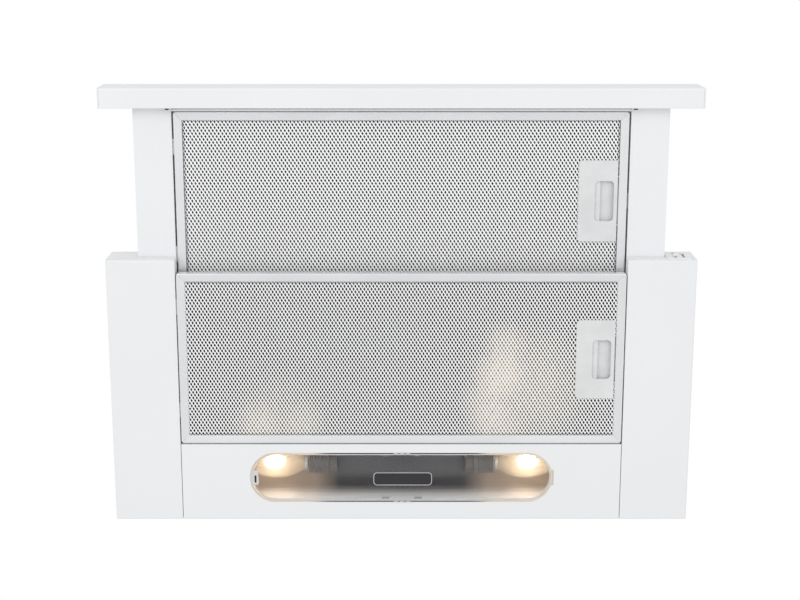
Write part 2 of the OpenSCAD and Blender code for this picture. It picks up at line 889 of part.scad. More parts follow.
module fan_shaft() {
    z0 = wheel_z + wheel_h - 20;
    color("silver") translate([fan_x, fan_y, z0]) {
        cylinder(r = shaft_r - 0.02, h = motor_z + motor_h + 4 - z0);
    }
}

module fan_nut() {
    color("silver") translate([fan_x, fan_y, wheel_z + wheel_h - 19]) difference() {
        cylinder(r = 7, h = 5, $fn = 6);
        translate([0, 0, -e]) cylinder(r = shaft_r, h = 7);
    }
}

module motor() {
    color("gray") translate([fan_x, fan_y, motor_z]) difference() {
        union() {
            cylinder(r = motor_r - 4, h = motor_h);
            translate([0, 0, 8]) cylinder(r = motor_r, h = motor_h - 20);
            for (a = [0:30:330]) {
                rotate(a) slab([motor_r - 8, -1.5, 2], [motor_r - 1.5, 1.5, motor_h - 4]);
            }
        }
        translate([0, 0, -e]) cylinder(r = shaft_r + 0.04, h = motor_h + 2 * e);
        translate([0, 0, -e]) cylinder(r = 12, h = 5 + e);
    }
}

grommet_as = [200, 320, 80];
grommet_at = 46;
grommet_top = scroll_h + 2;

module motor_bracket() {
    color("silver") translate([fan_x, fan_y, grommet_top]) difference() {
        union() {
            cylinder(r = 30, h = 2);
            for (a = grommet_as) {
                rotate(a) {
                    slab([0, -7, 0], [grommet_at, 7, 2]);
                    translate([grommet_at, 0, 0]) cylinder(r = 7, h = 2);
                }
            }
        }
        translate([0, 0, -e]) cylinder(r = 14, h = 4);
        for (a = grommet_as) {
            rotate(a) translate([grommet_at, 0, -e]) cylinder(r = 3.5, h = 4);
        }
    }
}

module motor_grommets() {
    color("black") for (a = grommet_as) {
        translate([fan_x + grommet_at * cos(a), fan_y + grommet_at * sin(a), 0]) {
            difference() {
                union() {
                    translate([0, 0, scroll_h - scroll_t - 2]) cylinder(r = 5.4, h = 2);
                    translate([0, 0, scroll_h - scroll_t]) {
                        cylinder(r = 3.4, h = grommet_top - scroll_h + scroll_t + 3);
                    }
                    translate([0, 0, scroll_h]) cylinder(r = 5.4, h = 2);
                    translate([0, 0, grommet_top + 2]) cylinder(r = 5.4, h = 2);
                }
                translate([0, 0, scroll_h - 8]) cylinder(r = 1.6, h = 20);
            }
        }
    }
}

module capacitor() {
    color("whitesmoke") translate([70, house_y - 79, 0]) {
        translate([0, 0, 17]) rotate([0, 90, 0]) {
            cylinder(r = 15, h = 52);
            translate([0, 0, 52]) cylinder(r = 13, h = 2);
            for (s = [-1, 1]) {
                translate([s * 5 - 0.4, -3, 54]) cube([0.8, 6, 8]);
            }
        }
        // cradle screwed to the deck
        along_x(14, 34) difference() {
            polygon([[-24, 0], [24, 0], [24, 2], [17, 2], [17, 17], [-17, 17], [-17, 2],
                [-24, 2]]);
            translate([0, 17]) circle(15);
        }
    }
}

module terminal_box() {
    lo = [150, house_y + 59, 0];
    hi = lo + [62, 52, 38];
    color("whitesmoke") difference() {
        union() {
            slab(lo, hi);
            slab([lo[0] - 1.5, lo[1] - 1.5, hi[2] - 8], [hi[0] + 1.5, hi[1] + 1.5, hi[2]]);
            for (x = [lo[0] - 8, hi[0]]) slab([x, lo[1] + 20, 0], [x + 8, lo[1] + 32, 2]);
        }
        slab([lo[0] + 2, lo[1] + 2, 2], [hi[0] - 2, hi[1] - 2, hi[2] - 2]);
        translate([gland_x, gland_y, hi[2] - 3]) cylinder(r = 6, h = 5);
    }
}

module cable_gland() {
    color("dimgray") translate([gland_x, gland_y, house_h]) difference() {
        union() {
            cylinder(r = 12, h = 5, $fn = 6);
            translate([0, 0, -10]) cylinder(r = gland_r, h = 10);
            translate([0, 0, 5]) cylinder(r = 9, h = 6);
            translate([0, 0, -house_t - 4]) cylinder(r = 12, h = 4, $fn = 6);
        }
        translate([0, 0, -11]) cylinder(r = 4.5, h = 24);
    }
}

// ---------------------------------------------------------------- drawer

fascia_lip = 4;

module fascia() {
    y0 = fascia_y - fascia_t;
    z1 = fascia_z + fascia_h;
    cap = fascia_wall;
    color("white") along_x(-fascia_w / 2 + cap, fascia_w / 2 - cap) difference() {
        union() {
            translate([y0, fascia_z + 2]) square([fascia_t, fascia_h - 4]);
            translate([y0 + 2, fascia_z]) square([fascia_t - 2, fascia_h]);
            for (z = [fascia_z + 2, z1 - 2]) translate([y0 + 2, z]) circle(2);
        }
        translate([y0 + fascia_wall, fascia_z + fascia_wall]) {
            square([fascia_t - 2 * fascia_wall, fascia_h - 2 * fascia_wall]);
        }
        translate([fascia_y - 2 * fascia_wall, fascia_z + fascia_lip]) {
            square([3 * fascia_wall, fascia_h - 2 * fascia_lip]);
        }
    }
}

// end cap of the right hand end, with a plug that grips inside the profile
module fascia_cap() {
    y0 = fascia_y - fascia_t;
    x1 = fascia_w / 2;
    inset = fascia_wall + fit;
    color("white") {
        along_x(x1 - fascia_wall, x1) {
            translate([fascia_y - fascia_t / 2, fascia_z + fascia_h / 2]) {
                rounded(fascia_t, fascia_h, 1.5);
            }
        }
        along_x(x1 - fascia_wall - 5, x1 - fascia_wall) {
            translate([y0 + inset, fascia_z + inset]) difference() {
                square([fascia_t - 2 * inset, fascia_h - 2 * inset]);
                translate([1.2, 1.2]) {
                    square([fascia_t - 2 * inset - 2.4, fascia_h - 2 * inset - 2.4]);
                }
            }
        }
    }
}

module fascia_cap_right() {
    fascia_cap();
}

module fascia_cap_left() {
    mirror([1, 0, 0]) fascia_cap();
}

strip_x = draw_w / 2 + 1;
fascia_screw_xs = [web_x + 11, web_x + 29];
fascia_screw_z = draw_z + 10;

// closes the back of the profile between the drawer sides
module fascia_strip() {
    color("white") difference() {
        slab([-strip_x, fascia_y - fascia_wall, fascia_z + fascia_lip],
            [strip_x, fascia_y, fascia_z + fascia_h - fascia_lip]);
        for (s = [-1, 1], x = fascia_screw_xs) {
            translate([s * x, fascia_y + e, fascia_screw_z]) {
                rotate([90, 0, 0]) cylinder(r = pilot_r, h = fascia_wall + 2 * e);
            }
        }
    }
}

module fascia_screws() {
    color("silver") for (s = [-1, 1], x = fascia_screw_xs) {
        translate([s * x, fascia_y + sheet_t, fascia_screw_z]) {
            rotate([-90, 0, 0]) screw(pilot_r - fit, 8);
        }
    }
}

module buffers() {
    color("black") both_sides() {
        translate([web_x + 3.1, fascia_y + close_gap - slack, (under_z + draw_z) / 2 + 2.6]) {
            rotate([90, 0, 0]) cylinder(r = 2, h = close_gap - slack);
        }
    }
}

// right hand side: a folded channel, its front flange and the moving rail on its web
module drawer_side() {
    x0 = web_x;
    x1 = draw_w / 2;
    z0 = draw_z;
    y0 = fascia_y;
    color("white") difference() {
        union() {
            along_y(y0, side_end) folded([[x0, draw_top], [x0, z0], [x1, z0],
                [x1, z0 + 14]], sheet_t);
            slab([x0 + 2, y0, z0 + sheet_t], [x1 - 2, y0 + sheet_t, z0 + 18]);
            along_y(y0 + 6, side_end - 4) {
                rail(x0 + sheet_t);
            }
        }
        for (x = fascia_screw_xs) {
            translate([x, y0 + sheet_t + e, fascia_screw_z]) {
                rotate([90, 0, 0]) cylinder(r = pilot_r + fit, h = sheet_t + 2 * e);
            }
        }
    }
}

// T shaped moving rail, riveted against the web at x
module rail(x) {
    neck = rail_neck - rail_web - sheet_t;
    translate([x, rail_mid - 5.6]) square([rail_web, 11.2]);
    translate([x + rail_web - 0.01, rail_mid - 2]) square([neck + 0.02, 4]);
    translate([x + rail_web + neck, rail_mid - 5]) square([rail_head - rail_neck, 10]);
}

module drawer_side_right() {
    difference() {
        drawer_side();
        // catch of the front cassette
        slab([web_x - e, drawn_y + catch_y - latch_w / 2 - 1, drawn_z + latch_z - slack],
            [web_x + sheet_t + e, drawn_y + catch_y + latch_w / 2 + 1,
                drawn_z + latch_z + latch_t + slack]);
    }
}

module drawer_side_left() {
    difference() {
        mirror([1, 0, 0]) drawer_side();
        for (s = [-1, 1]) {
            slab([-web_x - sheet_t - 0.01, drawn_y + cass_w / 2 + s * tab_at - tab_w / 2 - 1,
                    drawn_z + tab_z - slack],
                [-web_x + e, drawn_y + cass_w / 2 + s * tab_at + tab_w / 2 + 1,
                    drawn_z + tab_z + tab_t + 3]);
        }
    }
}

rail_y = fascia_y + 2.3;         // front face of the drawer's front rail
front_rail_t = 2;

module drawer_front_rail() {
    z1 = draw_top - sheet_t;
    stop = drawn_z + cass_t + slack;
    color("white") difference() {
        union() {
            slab([-web_x, rail_y, draw_z], [web_x, rail_y + front_rail_t, z1]);
            // flange that the cassette's front rim closes against
            slab([-web_x, rail_y + front_rail_t - 0.01, stop],
                [web_x, drawn_y + rim - 2, stop + 1.2]);
        }
        for (i = [-3:3]) {
            translate([i * 60, drawn_y + rim / 2 - 0.5, stop - e]) {
                cylinder(r = 1.6, h = 4);
            }
        }
    }
}

top_end = drawn_y + cass_w + 3;

module drawer_top() {
    color("white") difference() {
        union() {
            slab([-web_x, fascia_y + 2.3, draw_top - sheet_t], [web_x, top_end, draw_top]);
            // pressed swages that stiffen the sheet
            for (x = [-150, -50, 50, 150]) {
                slab([x - 12, drawn_y + 20, draw_top - 2 * sheet_t],
                    [x + 12, top_end - 20, draw_top - sheet_t + 0.01]);
            }
        }
        for (x = [-150, -50, 50, 150]) {
            slab([x - 10.8, drawn_y + 21.2, draw_top - sheet_t],
                [x + 10.8, top_end - 21.2, draw_top + e]);
        }
    }
}

// cross bar behind the front cassette, open to the air that it lets through
module drawer_rear_rail() {
    y0 = top_end - sheet_t;
    z1 = draw_top - sheet_t;
    n = 9;
    pitch = 2 * (web_x - 8) / n;
    color("white") difference() {
        slab([-web_x, y0, drawn_z + 1], [web_x, y0 + sheet_t, z1]);
        for (i = [0:n - 1]) {
            along_y(y0 - e, y0 + sheet_t + e) {
                translate([-web_x + 8 + pitch * (i + 0.5), (drawn_z + cass_t + z1) / 2]) {
                    capsule(pitch - 6, z1 - drawn_z - cass_t - 2);
                }
            }
        }
    }
}

glide_l = 18;
glide_ys = [front_y + 9 + slack, side_end - 4 - glide_l];

module drawer_glides() {
    x0 = web_x + rail_head;
    x1 = web_x + channel_out - rail_web - 0.4;
    color("whitesmoke") both_sides() for (y = glide_ys) {
        along_y(y, y + glide_l) {
            translate([(x0 + x1) / 2, rail_mid]) rounded(x1 - x0, 10.8, 1);
        }
    }
}

// ---------------------------------------------------------------- grease cassette

// a block whose sides slope in as it rises, from half sizes at z0 to half sizes at z1
module sloped_block(x0, y0, z0, x1, y1, z1) {
    intersection() {
        along_y(-cass_w, cass_w) polygon([[-x0, z0], [x0, z0], [x1, z1], [-x1, z1]]);
        along_x(-cass_l, cass_l) polygon([[-y0, z0], [y0, z0], [y1, z1], [-y1, z1]]);
    }
}

// everything of a cassette is drawn from its front edge and its underside
module cassette_frame() {
    web = 1.2;
    half_l = cass_l / 2;
    half_w = cass_w / 2;
    corner = 3;
    color("gainsboro") difference() {
        union() {
            translate([0, half_w, 0]) difference() {
                linear_extrude(cass_t) rounded(cass_l, cass_w, corner);
                slab([-half_l + web, -half_w + web, lip], [half_l - web, half_w - web,
                    cass_t - back_t]);
                slab([-half_l + rim, -half_w + rim, -e], [half_l - rim, half_w - rim,
                    cass_t + e]);
                // the lower lip slopes in towards the mesh
                translate([0, 0, -0.01]) {
                    sloped_block(half_l - 1.6, half_w - 1.6, 0, half_l - rim, half_w - rim, 0.8);
                }
                slab([-half_l - e, -half_w + corner, -e], [-half_l + bead_r,
                    half_w - corner, bead_r]);
            }
            // rolled lower edge at the left end, on which the cassette tips
            translate([-half_l + bead_r, corner, bead_r]) {
                rotate([-90, 0, 0]) cylinder(r = bead_r, h = cass_w - 2 * corner);
            }
            for (s = [-1, 1]) {
                slab([-half_l - tab_out, half_w + s * tab_at - tab_w / 2, tab_z],
                    [-half_l + web / 2, half_w + s * tab_at + tab_w / 2, tab_z + tab_t]);
            }
        }
        // way of the latch tongue
        slab([half_l - web - e, catch_y - latch_w / 2 - 0.5, latch_z - slack],
            [half_l + e, catch_y + latch_w / 2 + 0.5, latch_z + latch_t + slack]);
    }
}

well_w = 39;
well_l = 51;
well_x = cass_l / 2 - 4.1 - well_w;

// the mesh leaves out the well of the latch
module well_cut() {
    translate([well_x - 0.4, catch_y - well_l / 2 - 0.4]) {
        square([cass_l / 2 - well_x, well_l + 0.8]);
    }
}

// expanded sheet; each opening here stands for twenty five of the real ones
mesh_dx = 19;
mesh_dy = 15.5;

module mesh_outline() {
    inset = 1.7;
    translate([0, cass_w / 2]) square([cass_l - 2 * inset, cass_w - 2 * inset], center = true);
}

module mesh_sheet() {
    reach_x = cass_l / 2 - rim - mesh_dx / 2;
    reach_y = cass_w / 2 - rim - mesh_dy / 2;
    rows = floor(reach_y / mesh_dy);
    cols = floor(reach_x / mesh_dx);
    linear_extrude(mesh_t) difference() {
        mesh_outline();
        well_cut();
        for (j = [-rows:rows], i = [-cols:cols]) {
            x = (i + (j % 2 == 0 ? 0 : 0.5)) * mesh_dx;
            y = cass_w / 2 + j * mesh_dy;
            beside = abs(y - catch_y) < handle_l / 2 + mesh_dy / 2 && x > well_x - mesh_dx;
            if (abs(x) < reach_x + 1 && !beside) {
                translate([x, y]) polygon([[-6.2, 0], [0, -6.6], [6.2, 0], [0, 6.6]]);
            }
        }
    }
}

module cassette_mesh() {
    color("silver") translate([0, 0, lip]) mesh_sheet();
}

module cassette_back_mesh() {
    color("silver") translate([0, 0, lip + mesh_t + pad_t]) mesh_sheet();
}

pleats = 30;
foil_t = 0.5;

// pleated foil core that fills the space between the two sheets
module cassette_pad() {
    half = cass_l / 2 - 1.3;
    step = half / pleats;
    z0 = lip + mesh_t;
    // a slanting sheet stands a little taller than its middle line
    top = z0 + pad_t - foil_t * norm([step, pad_t]) / step;
    path = [for (i = [0:2 * pleats]) [-half + i * step, i % 2 == 0 ? z0 : top]];
    color("darkgray") difference() {
        along_y(1.3, cass_w - 1.3) {
            polygon(concat(path, [for (i = [2 * pleats:-1:0])
                path[i] + [0, z0 + pad_t - top]]));
        }
        translate([0, 0, -e]) linear_extrude(cass_t + 2 * e) well_cut();
    }
}

module cassette_handle() {
    wall = 1.2;
    z1 = lip + mesh_t + pad_t;
    color("lightgray") difference() {
        union() {
            // the plate's corners are round on the side away from the frame
            translate([handle_x, catch_y, -0.2]) linear_extrude(lip + 0.2) {
                rounded(handle_w, handle_l, 4);
                translate([0, -handle_l / 2]) square([handle_w / 2, handle_l]);
            }
            translate([well_x, catch_y - well_l / 2, lip]) difference() {
                cube([well_w, well_l, z1 - lip]);
                translate([wall, wall, -e]) cube([well_w - 2 * wall, well_l - 2 * wall, 20]);
            }
            // hooks that keep the slider in its well
            for (s = [-1, 1]) {
                translate([well_x + well_w / 2 - 3, catch_y + s * (well_l / 2 - wall - 0.6) - 0.6,
                    latch_z + latch_t + 0.2]) cube([6, 1.2, 1]);
            }
        }
        translate([grip_x, catch_y, -e]) linear_extrude(lip + 2 * e) {
            rounded(grip_w, grip_l, 4);
        }
        slab([well_x + wall, catch_y - latch_w / 2 - 0.5, latch_z - slack],
            [well_x + well_w + e, catch_y + latch_w / 2 + 0.5, latch_z + latch_t + slack]);
    }
}

// slider with a step for the finger and the tongue that holds the cassette up
module cassette_latch() {
    step_w = 5.6;
    wall = 1.2;
    x0 = well_x + wall + latch_go + 0.4;
    x1 = well_x + well_w - wall - slack;
    half = well_l / 2 - wall - slack;
    color("white") {
        slab([x0, catch_y - half, latch_z], [x1, catch_y + half, latch_z + latch_t]);
        slab([x0, catch_y - half, lip + slack],
            [grip_x - grip_w / 2 + step_w, catch_y + half, latch_z + 0.01]);
        slab([x1 - 1, catch_y - latch_w / 2, latch_z],
            [cass_l / 2 + latch_out, catch_y + latch_w / 2, latch_z + latch_t]);
    }
}

module at_front() {
    translate([0, drawn_y, drawn_z]) children();
}

module at_rear() {
    translate([0, rear_y, under_z]) children();
}

module front_frame() { at_front() cassette_frame(); }
module front_mesh() { at_front() cassette_mesh(); }
module front_pad() { at_front() cassette_pad(); }
module front_back_mesh() { at_front() cassette_back_mesh(); }
module front_handle() { at_front() cassette_handle(); }
module front_latch() { at_front() cassette_latch(); }
module rear_frame() { at_rear() cassette_frame(); }
module rear_mesh() { at_rear() cassette_mesh(); }
module rear_pad() { at_rear() cassette_pad(); }
module rear_back_mesh() { at_rear() cassette_back_mesh(); }
module rear_handle() { at_rear() cassette_handle(); }
module rear_latch() { at_rear() cassette_latch(); }

chassis();
wing_left();
wing_right();
lamp_panel();
rail_outer_left();
rail_outer_right();
base_screws();
housing_shell();
housing_lid();
housing_screws();
outlet_collar();
flap_spindle();
flap_left();
flap_right();
outlet_box();
fan_scroll();
inlet_ring();
impeller();
fan_shaft();
fan_nut();
motor();
motor_bracket();
motor_grommets();
capacitor();
terminal_box();
cable_gland();
control_bezel();
switch_box();
speed_knob();
light_knob();
lamp_tray();
lens();
holder_left();
holder_right();
bulb_left();
bulb_right();
fascia();
fascia_cap_left();
fascia_cap_right();
fascia_strip();
fascia_screws();
buffers();
drawer_side_left();
drawer_side_right();
drawer_front_rail();
drawer_rear_rail();
drawer_top();
drawer_glides();
front_frame();
front_mesh();
front_pad();
front_back_mesh();
front_handle();
front_latch();
rear_frame();
rear_mesh();
rear_pad();
rear_back_mesh();
rear_handle();
rear_latch();
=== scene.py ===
# %% [markdown]
# # A pull out hood, finished in Blender
# The hood is a white steel and plastic box that hangs under a kitchen cabinet. Its parts come
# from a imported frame, each at its real place in metres. What is left to do here is the finish of
# each surface, and the shapes that are too fine for the frame: the expanded mesh of the grease
# filters, their mitred frames, rounded edges, screws, the lens and its lamps.
#
# The frame is loaded first. Two tables are read from its record: the body that each part rides
# on, and the slot that says which finish it has.

# %% Load the frame of the hood
import json
import math

import bmesh
import bpy
from mathutils import Matrix, Vector

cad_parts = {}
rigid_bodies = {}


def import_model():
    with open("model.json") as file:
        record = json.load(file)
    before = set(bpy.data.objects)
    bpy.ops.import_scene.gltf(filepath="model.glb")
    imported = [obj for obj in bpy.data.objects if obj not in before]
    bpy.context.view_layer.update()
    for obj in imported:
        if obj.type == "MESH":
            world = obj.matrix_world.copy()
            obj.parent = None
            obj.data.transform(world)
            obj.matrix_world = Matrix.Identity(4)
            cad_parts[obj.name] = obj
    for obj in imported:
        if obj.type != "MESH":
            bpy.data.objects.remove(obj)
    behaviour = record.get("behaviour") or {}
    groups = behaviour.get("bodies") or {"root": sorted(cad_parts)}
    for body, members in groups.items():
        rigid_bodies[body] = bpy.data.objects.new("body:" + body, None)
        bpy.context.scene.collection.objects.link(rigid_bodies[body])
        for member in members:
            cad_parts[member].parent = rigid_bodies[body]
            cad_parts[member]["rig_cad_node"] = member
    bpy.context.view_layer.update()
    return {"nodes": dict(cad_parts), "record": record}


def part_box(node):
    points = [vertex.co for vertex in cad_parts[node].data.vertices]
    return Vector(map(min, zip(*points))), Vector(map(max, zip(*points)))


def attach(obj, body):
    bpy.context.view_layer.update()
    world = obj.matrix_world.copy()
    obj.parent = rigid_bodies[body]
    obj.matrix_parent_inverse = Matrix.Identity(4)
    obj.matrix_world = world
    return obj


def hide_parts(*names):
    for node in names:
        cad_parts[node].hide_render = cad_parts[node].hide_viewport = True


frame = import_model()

MM = 0.001
nodes = frame["nodes"]
body_of = {name: body for body, names in frame["record"]["behaviour"]["bodies"].items() for name in names}
slot_of = {part["node"]: part["material_slot"] for part in frame["record"]["subparts"]}

# %% [markdown]
# Materials come first. A finish is a Principled shader with a little procedural detail: a slow
# drift of colour, a change of gloss, and a bump at the scale of the real surface. The plain
# numbers sit on the shader's own sockets, because an export keeps those best. `finish` sets them,
# `node` adds a node, `feed` gives a socket its value or joins it up, and `out` finds the output
# that is in use.

# %% A shader to build finishes on
def finish(name, colour, roughness, metallic=0.0, **sockets):
    """A new material whose plain numbers sit on the shader's own sockets."""
    material = bpy.data.materials.new(name)
    material.use_nodes = True
    shader = material.node_tree.nodes["Principled BSDF"]
    shader.inputs["Base Color"].default_value = (*colour, 1.0)
    shader.inputs["Roughness"].default_value = roughness
    shader.inputs["Metallic"].default_value = metallic
    for socket, value in sockets.items():
        shader.inputs[socket.replace("_", " ")].default_value = value
    material.diffuse_color = (*colour, 1.0)
    return material


def feed(socket, value):
    """Joins a socket to another one, or sets its value."""
    if isinstance(value, bpy.types.NodeSocket):
        socket.id_data.links.new(value, socket)
    else:
        socket.default_value = value


def node(owner, kind, settings=(), **inputs):
    """Adds a node to a material or a tree; each input is a value, or a socket to join to it."""
    tree = owner.node_tree if isinstance(owner, bpy.types.Material) else owner
    made = tree.nodes.new(kind)
    for key, value in dict(settings).items():
        setattr(made, key, value)
    for key, value in inputs.items():
        wanted = key.replace("_", " ")
        feed(next(s for s in made.inputs if s.name == wanted and s.enabled), value)
    return made


def out(made, name=None):
    """The output of a node that is in use, by name or the first one."""
    return next(s for s in made.outputs if s.enabled and (name is None or s.name == name))


def math_node(owner, operation, a, b=0.0):
    made = node(owner, "ShaderNodeMath", {"operation": operation})
    for socket, value in zip(made.inputs, (a, b)):
        feed(socket, value)
    return made.outputs[0]


print("finish(), node(), math_node() and out() are ready")

# %% [markdown]
# A pattern needs a place to be read from. `surface` gives the piece's own Object coordinates, so
# the pattern stays on its piece when the piece moves. It is stretched where a finish has a
# direction, as rolled metal has. Most finishes differ only in the scale of their noises, so
# `textured` takes those as numbers: one noise drifts the colour, one changes the gloss, and the
# rest raise the surface.

# %% Patterns on a surface
def surface(material, stretch=(1.0, 1.0, 1.0)):
    coordinates = node(material, "ShaderNodeTexCoord")
    mapping = node(material, "ShaderNodeMapping", Vector=out(coordinates, "Object"), Scale=stretch)
    return out(mapping)


def noise(material, scale, detail=2.0, stretch=(1.0, 1.0, 1.0)):
    place = surface(material, stretch)
    return out(node(material, "ShaderNodeTexNoise", Vector=place, Scale=scale, Detail=detail))


def spread(material, value, low, high, from_low=0.3, from_high=0.7):
    """Moves a pattern's middle range to run from low to high."""
    settings = {"From_Min": from_low, "From_Max": from_high, "To_Min": low, "To_Max": high}
    return out(node(material, "ShaderNodeMapRange", Value=value, **settings))


def colour_between(material, value, dark, light):
    ramp = node(material, "ShaderNodeValToRGB", Fac=value)
    for element, colour, position in zip(ramp.color_ramp.elements, (dark, light), (0.3, 0.7)):
        element.color = (*colour, 1.0)
        element.position = position
    return out(ramp)


def drive(material, socket, value):
    feed(material.node_tree.nodes["Principled BSDF"].inputs[socket], value)


def raise_surface(material, heights, distance):
    """Adds bumps one after the other, each a pattern with its strength."""
    below = {}
    for height, strength in heights:
        made = node(material, "ShaderNodeBump", Height=height, Strength=strength, Distance=distance, **below)
        below = {"Normal": out(made)}
    drive(material, "Normal", below["Normal"])


def textured(material, drift=None, gloss=None, bumps=(), distance=0.3 * MM):
    """Adds patterns of noise. Each has a scale and a detail, and after them a drift has two colours,
    a gloss has two levels, and a bump has a strength and, where it runs one way, a stretch."""
    if drift:
        drive(material, "Base Color", colour_between(material, noise(material, *drift[:2]), *drift[2:]))
    if gloss:
        drive(material, "Roughness", spread(material, noise(material, *gloss[:2]), *gloss[2:]))
    if bumps:
        heights = [(noise(material, *bump[:2], *bump[3:]), bump[2]) for bump in bumps]
        raise_surface(material, heights, distance)
    return material


print("patterns read Object coordinates in metres, so a scale of 400 has grains of 2.5 mm")

# %% [markdown]
# White is the whole look of this hood, yet it has two whites. The steel sheets carry baked
# powder enamel, which is smooth with a faint orange peel. The end panels are moulded plastic with
# a fine even grain. Neither is quite even in gloss, which is what stops a white part from looking
# like paper.

# %% The two whites
def white_enamel():
    material = finish("white_enamel", (0.84, 0.85, 0.86), 0.34, Coat_Weight=0.25, Coat_Roughness=0.12)
    drift = (9.0, 4.0, (0.826, 0.84, 0.856), (0.846, 0.86, 0.876))
    peel, dust = (420.0, 1.0, 0.12), (2600.0, 2.0, 0.05)
    return textured(material, drift, (60.0, 3.0, 0.29, 0.4), [peel, dust], 0.4 * MM)


def white_moulding():
    material = finish("white_moulding", (0.84, 0.85, 0.86), 0.42, IOR=1.52)
    drift = (6.0, 3.0, (0.824, 0.838, 0.854), (0.844, 0.858, 0.874))
    flow, grain = (35.0, 2.0, 0.05, (1.0, 3.0, 1.0)), (3200.0, 2.0, 0.08)
    return textured(material, drift, (45.0, 2.0, 0.37, 0.47), [flow, grain])


finishes = {"painted_steel": white_enamel(), "white_plastic": white_moulding()}
print("whites:", [material.name for material in finishes.values()])

# %% [markdown]
# The metals are told apart by their grain. Rolled aluminium has long scratches, zinc plate has a
# patchy bloom from a Voronoi pattern, and the motor's iron is a stack of thin plates under
# lacquer, which a Wave pattern gives.

# %% The metals
def frame_aluminium():
    material = finish("frame_aluminium", (0.80, 0.81, 0.82), 0.42, 0.7)
    rolled = noise(material, 30.0, 4.0, (1.0, 60.0, 60.0))
    across = noise(material, 30.0, 4.0, (60.0, 1.0, 60.0))
    mixed = math_node(material, "MULTIPLY", rolled, across)
    drive(material, "Roughness", spread(material, mixed, 0.36, 0.5, 0.1, 0.45))
    patches = noise(material, 14.0, 3.0)
    drive(material, "Base Color", colour_between(material, patches, (0.80, 0.81, 0.82), (0.86, 0.87, 0.88)))
    raise_surface(material, [(rolled, 0.08), (noise(material, 900.0), 0.04)], 0.2 * MM)
    return material


def zinc_plate():
    material = finish("zinc_plate", (0.66, 0.67, 0.68), 0.4, 1.0)
    cells = node(material, "ShaderNodeTexVoronoi", Vector=surface(material), Scale=190.0)
    bloom = out(node(material, "ShaderNodeSeparateColor", Color=out(cells, "Color")), "Red")
    drive(material, "Base Color", colour_between(material, bloom, (0.6, 0.61, 0.62), (0.72, 0.73, 0.73)))
    drive(material, "Roughness", spread(material, bloom, 0.33, 0.5, 0.0, 1.0))
    return textured(material, bumps=[(1500.0, 2.0, 0.06)], distance=0.2 * MM)


def motor_iron():
    material = finish("motor_iron", (0.3, 0.31, 0.32), 0.45, 0.7)
    plates = out(node(material, "ShaderNodeTexWave", {"bands_direction": "Z"}, Vector=surface(material),
        Scale=520.0, Distortion=0.4, Detail=1.0), "Fac")
    drive(material, "Base Color", colour_between(material, plates, (0.2, 0.21, 0.22), (0.4, 0.41, 0.42)))
    raise_surface(material, [(plates, 0.5)], 0.2 * MM)
    return material


finishes["frame_aluminium"] = frame_aluminium()
finishes["zinc_steel"] = zinc_plate()
finishes["motor_steel"] = motor_iron()
print("metals:", [finishes[slot].name for slot in ("frame_aluminium", "zinc_steel", "motor_steel")])

# %% [markdown]
# The foil of the filters has small dents from the press. It is clean and bright on the outside.
# The back sheet and the pleated foil between are the same foil with painted shade: grey on the
# back, and near black between the two, where little light reaches. Light from the lamps comes
# through the louvres of their tray and scatters in the rear filter, where it shows as warm
# patches. So dim a light would only be grain in a render, so it is painted light: the inner foil
# gives it off by itself as emission, each patch full at its middle and fading out to its reach.

# %% The foils, with painted shade and painted lamp light
FOIL_DEPTH = -0.03
LAMP_PATCHES = [  # x, y, full to, reach, strength
    (0.106, -0.052, 0.008, 0.026, 0.24),
    (0.101, -0.018, 0.012, 0.030, 0.32),
    (0.086, 0.014, 0.012, 0.030, 0.20),
    (0.097, 0.042, 0.012, 0.034, 0.24),
    (0.130, -0.004, 0.020, 0.072, 0.20),
    (-0.148, 0.034, 0.008, 0.028, 0.24),
    (-0.101, 0.034, 0.006, 0.026, 0.20),
    (-0.127, 0.032, 0.012, 0.058, 0.12),
]


def filter_foil(name, dark, light, metallic):
    dents, gloss = (700.0, 2.0, dark, light), (260.0, 2.0, 0.34, 0.52)
    return textured(finish(name, light, 0.42, metallic), dents, gloss, [(700.0, 2.0, 0.25)], 0.25 * MM)


def distance_from(material, vector, point):
    away = node(material, "ShaderNodeVectorMath", {"operation": "DISTANCE"}, Vector=vector)
    feed(away.inputs[1], point)
    return out(away, "Value")


def lit_from_behind(material, patches):
    """Adds up the light of all patches."""
    light = 0.0
    for x, y, full, reach, strength in patches:
        away = distance_from(material, surface(material), (x, y, FOIL_DEPTH))
        light = math_node(material, "ADD", light, spread(material, away, strength, 0.0, full, reach))
    drive(material, "Emission Color", (1.0, 0.83, 0.6, 1.0))
    drive(material, "Emission Strength", light)


finishes["mesh_aluminium"] = filter_foil("filter_foil", (0.97, 0.975, 0.98), (0.99, 0.995, 0.995), 0.0)
# The pads and back sheets are the outer foil darkened as painted shade; the rear pad's foil also gives off
# painted lamp light.
painted_shade_pad_foil = filter_foil("painted_shade_pad_foil", (0.06, 0.063, 0.066), (0.22, 0.225, 0.23), 0.4)
painted_shade_and_glow_foil = filter_foil("painted_shade_and_glow_foil", (0.008, 0.008, 0.009), (0.05, 0.05, 0.05), 0.2)
lit_from_behind(painted_shade_and_glow_foil, LAMP_PATCHES)
painted_shade_back_foil = filter_foil("painted_shade_back_foil", (0.3, 0.305, 0.31), (0.5, 0.505, 0.51), 0.5)
print("foils:", painted_shade_pad_foil.name, painted_shade_and_glow_foil.name, painted_shade_back_foil.name, "with", len(LAMP_PATCHES), "lit patches")

# %% [markdown]
# The small mouldings are nylon and filled plastic: grey for the filters' handles and the fan
# casing, near black for the collar. A spark eroded mould leaves a fine grain. The lamp holders
# are brown grey, as plastic that stands the heat of a lamp is. The buffers are soft rubber, which
# is dull and slightly dusty.

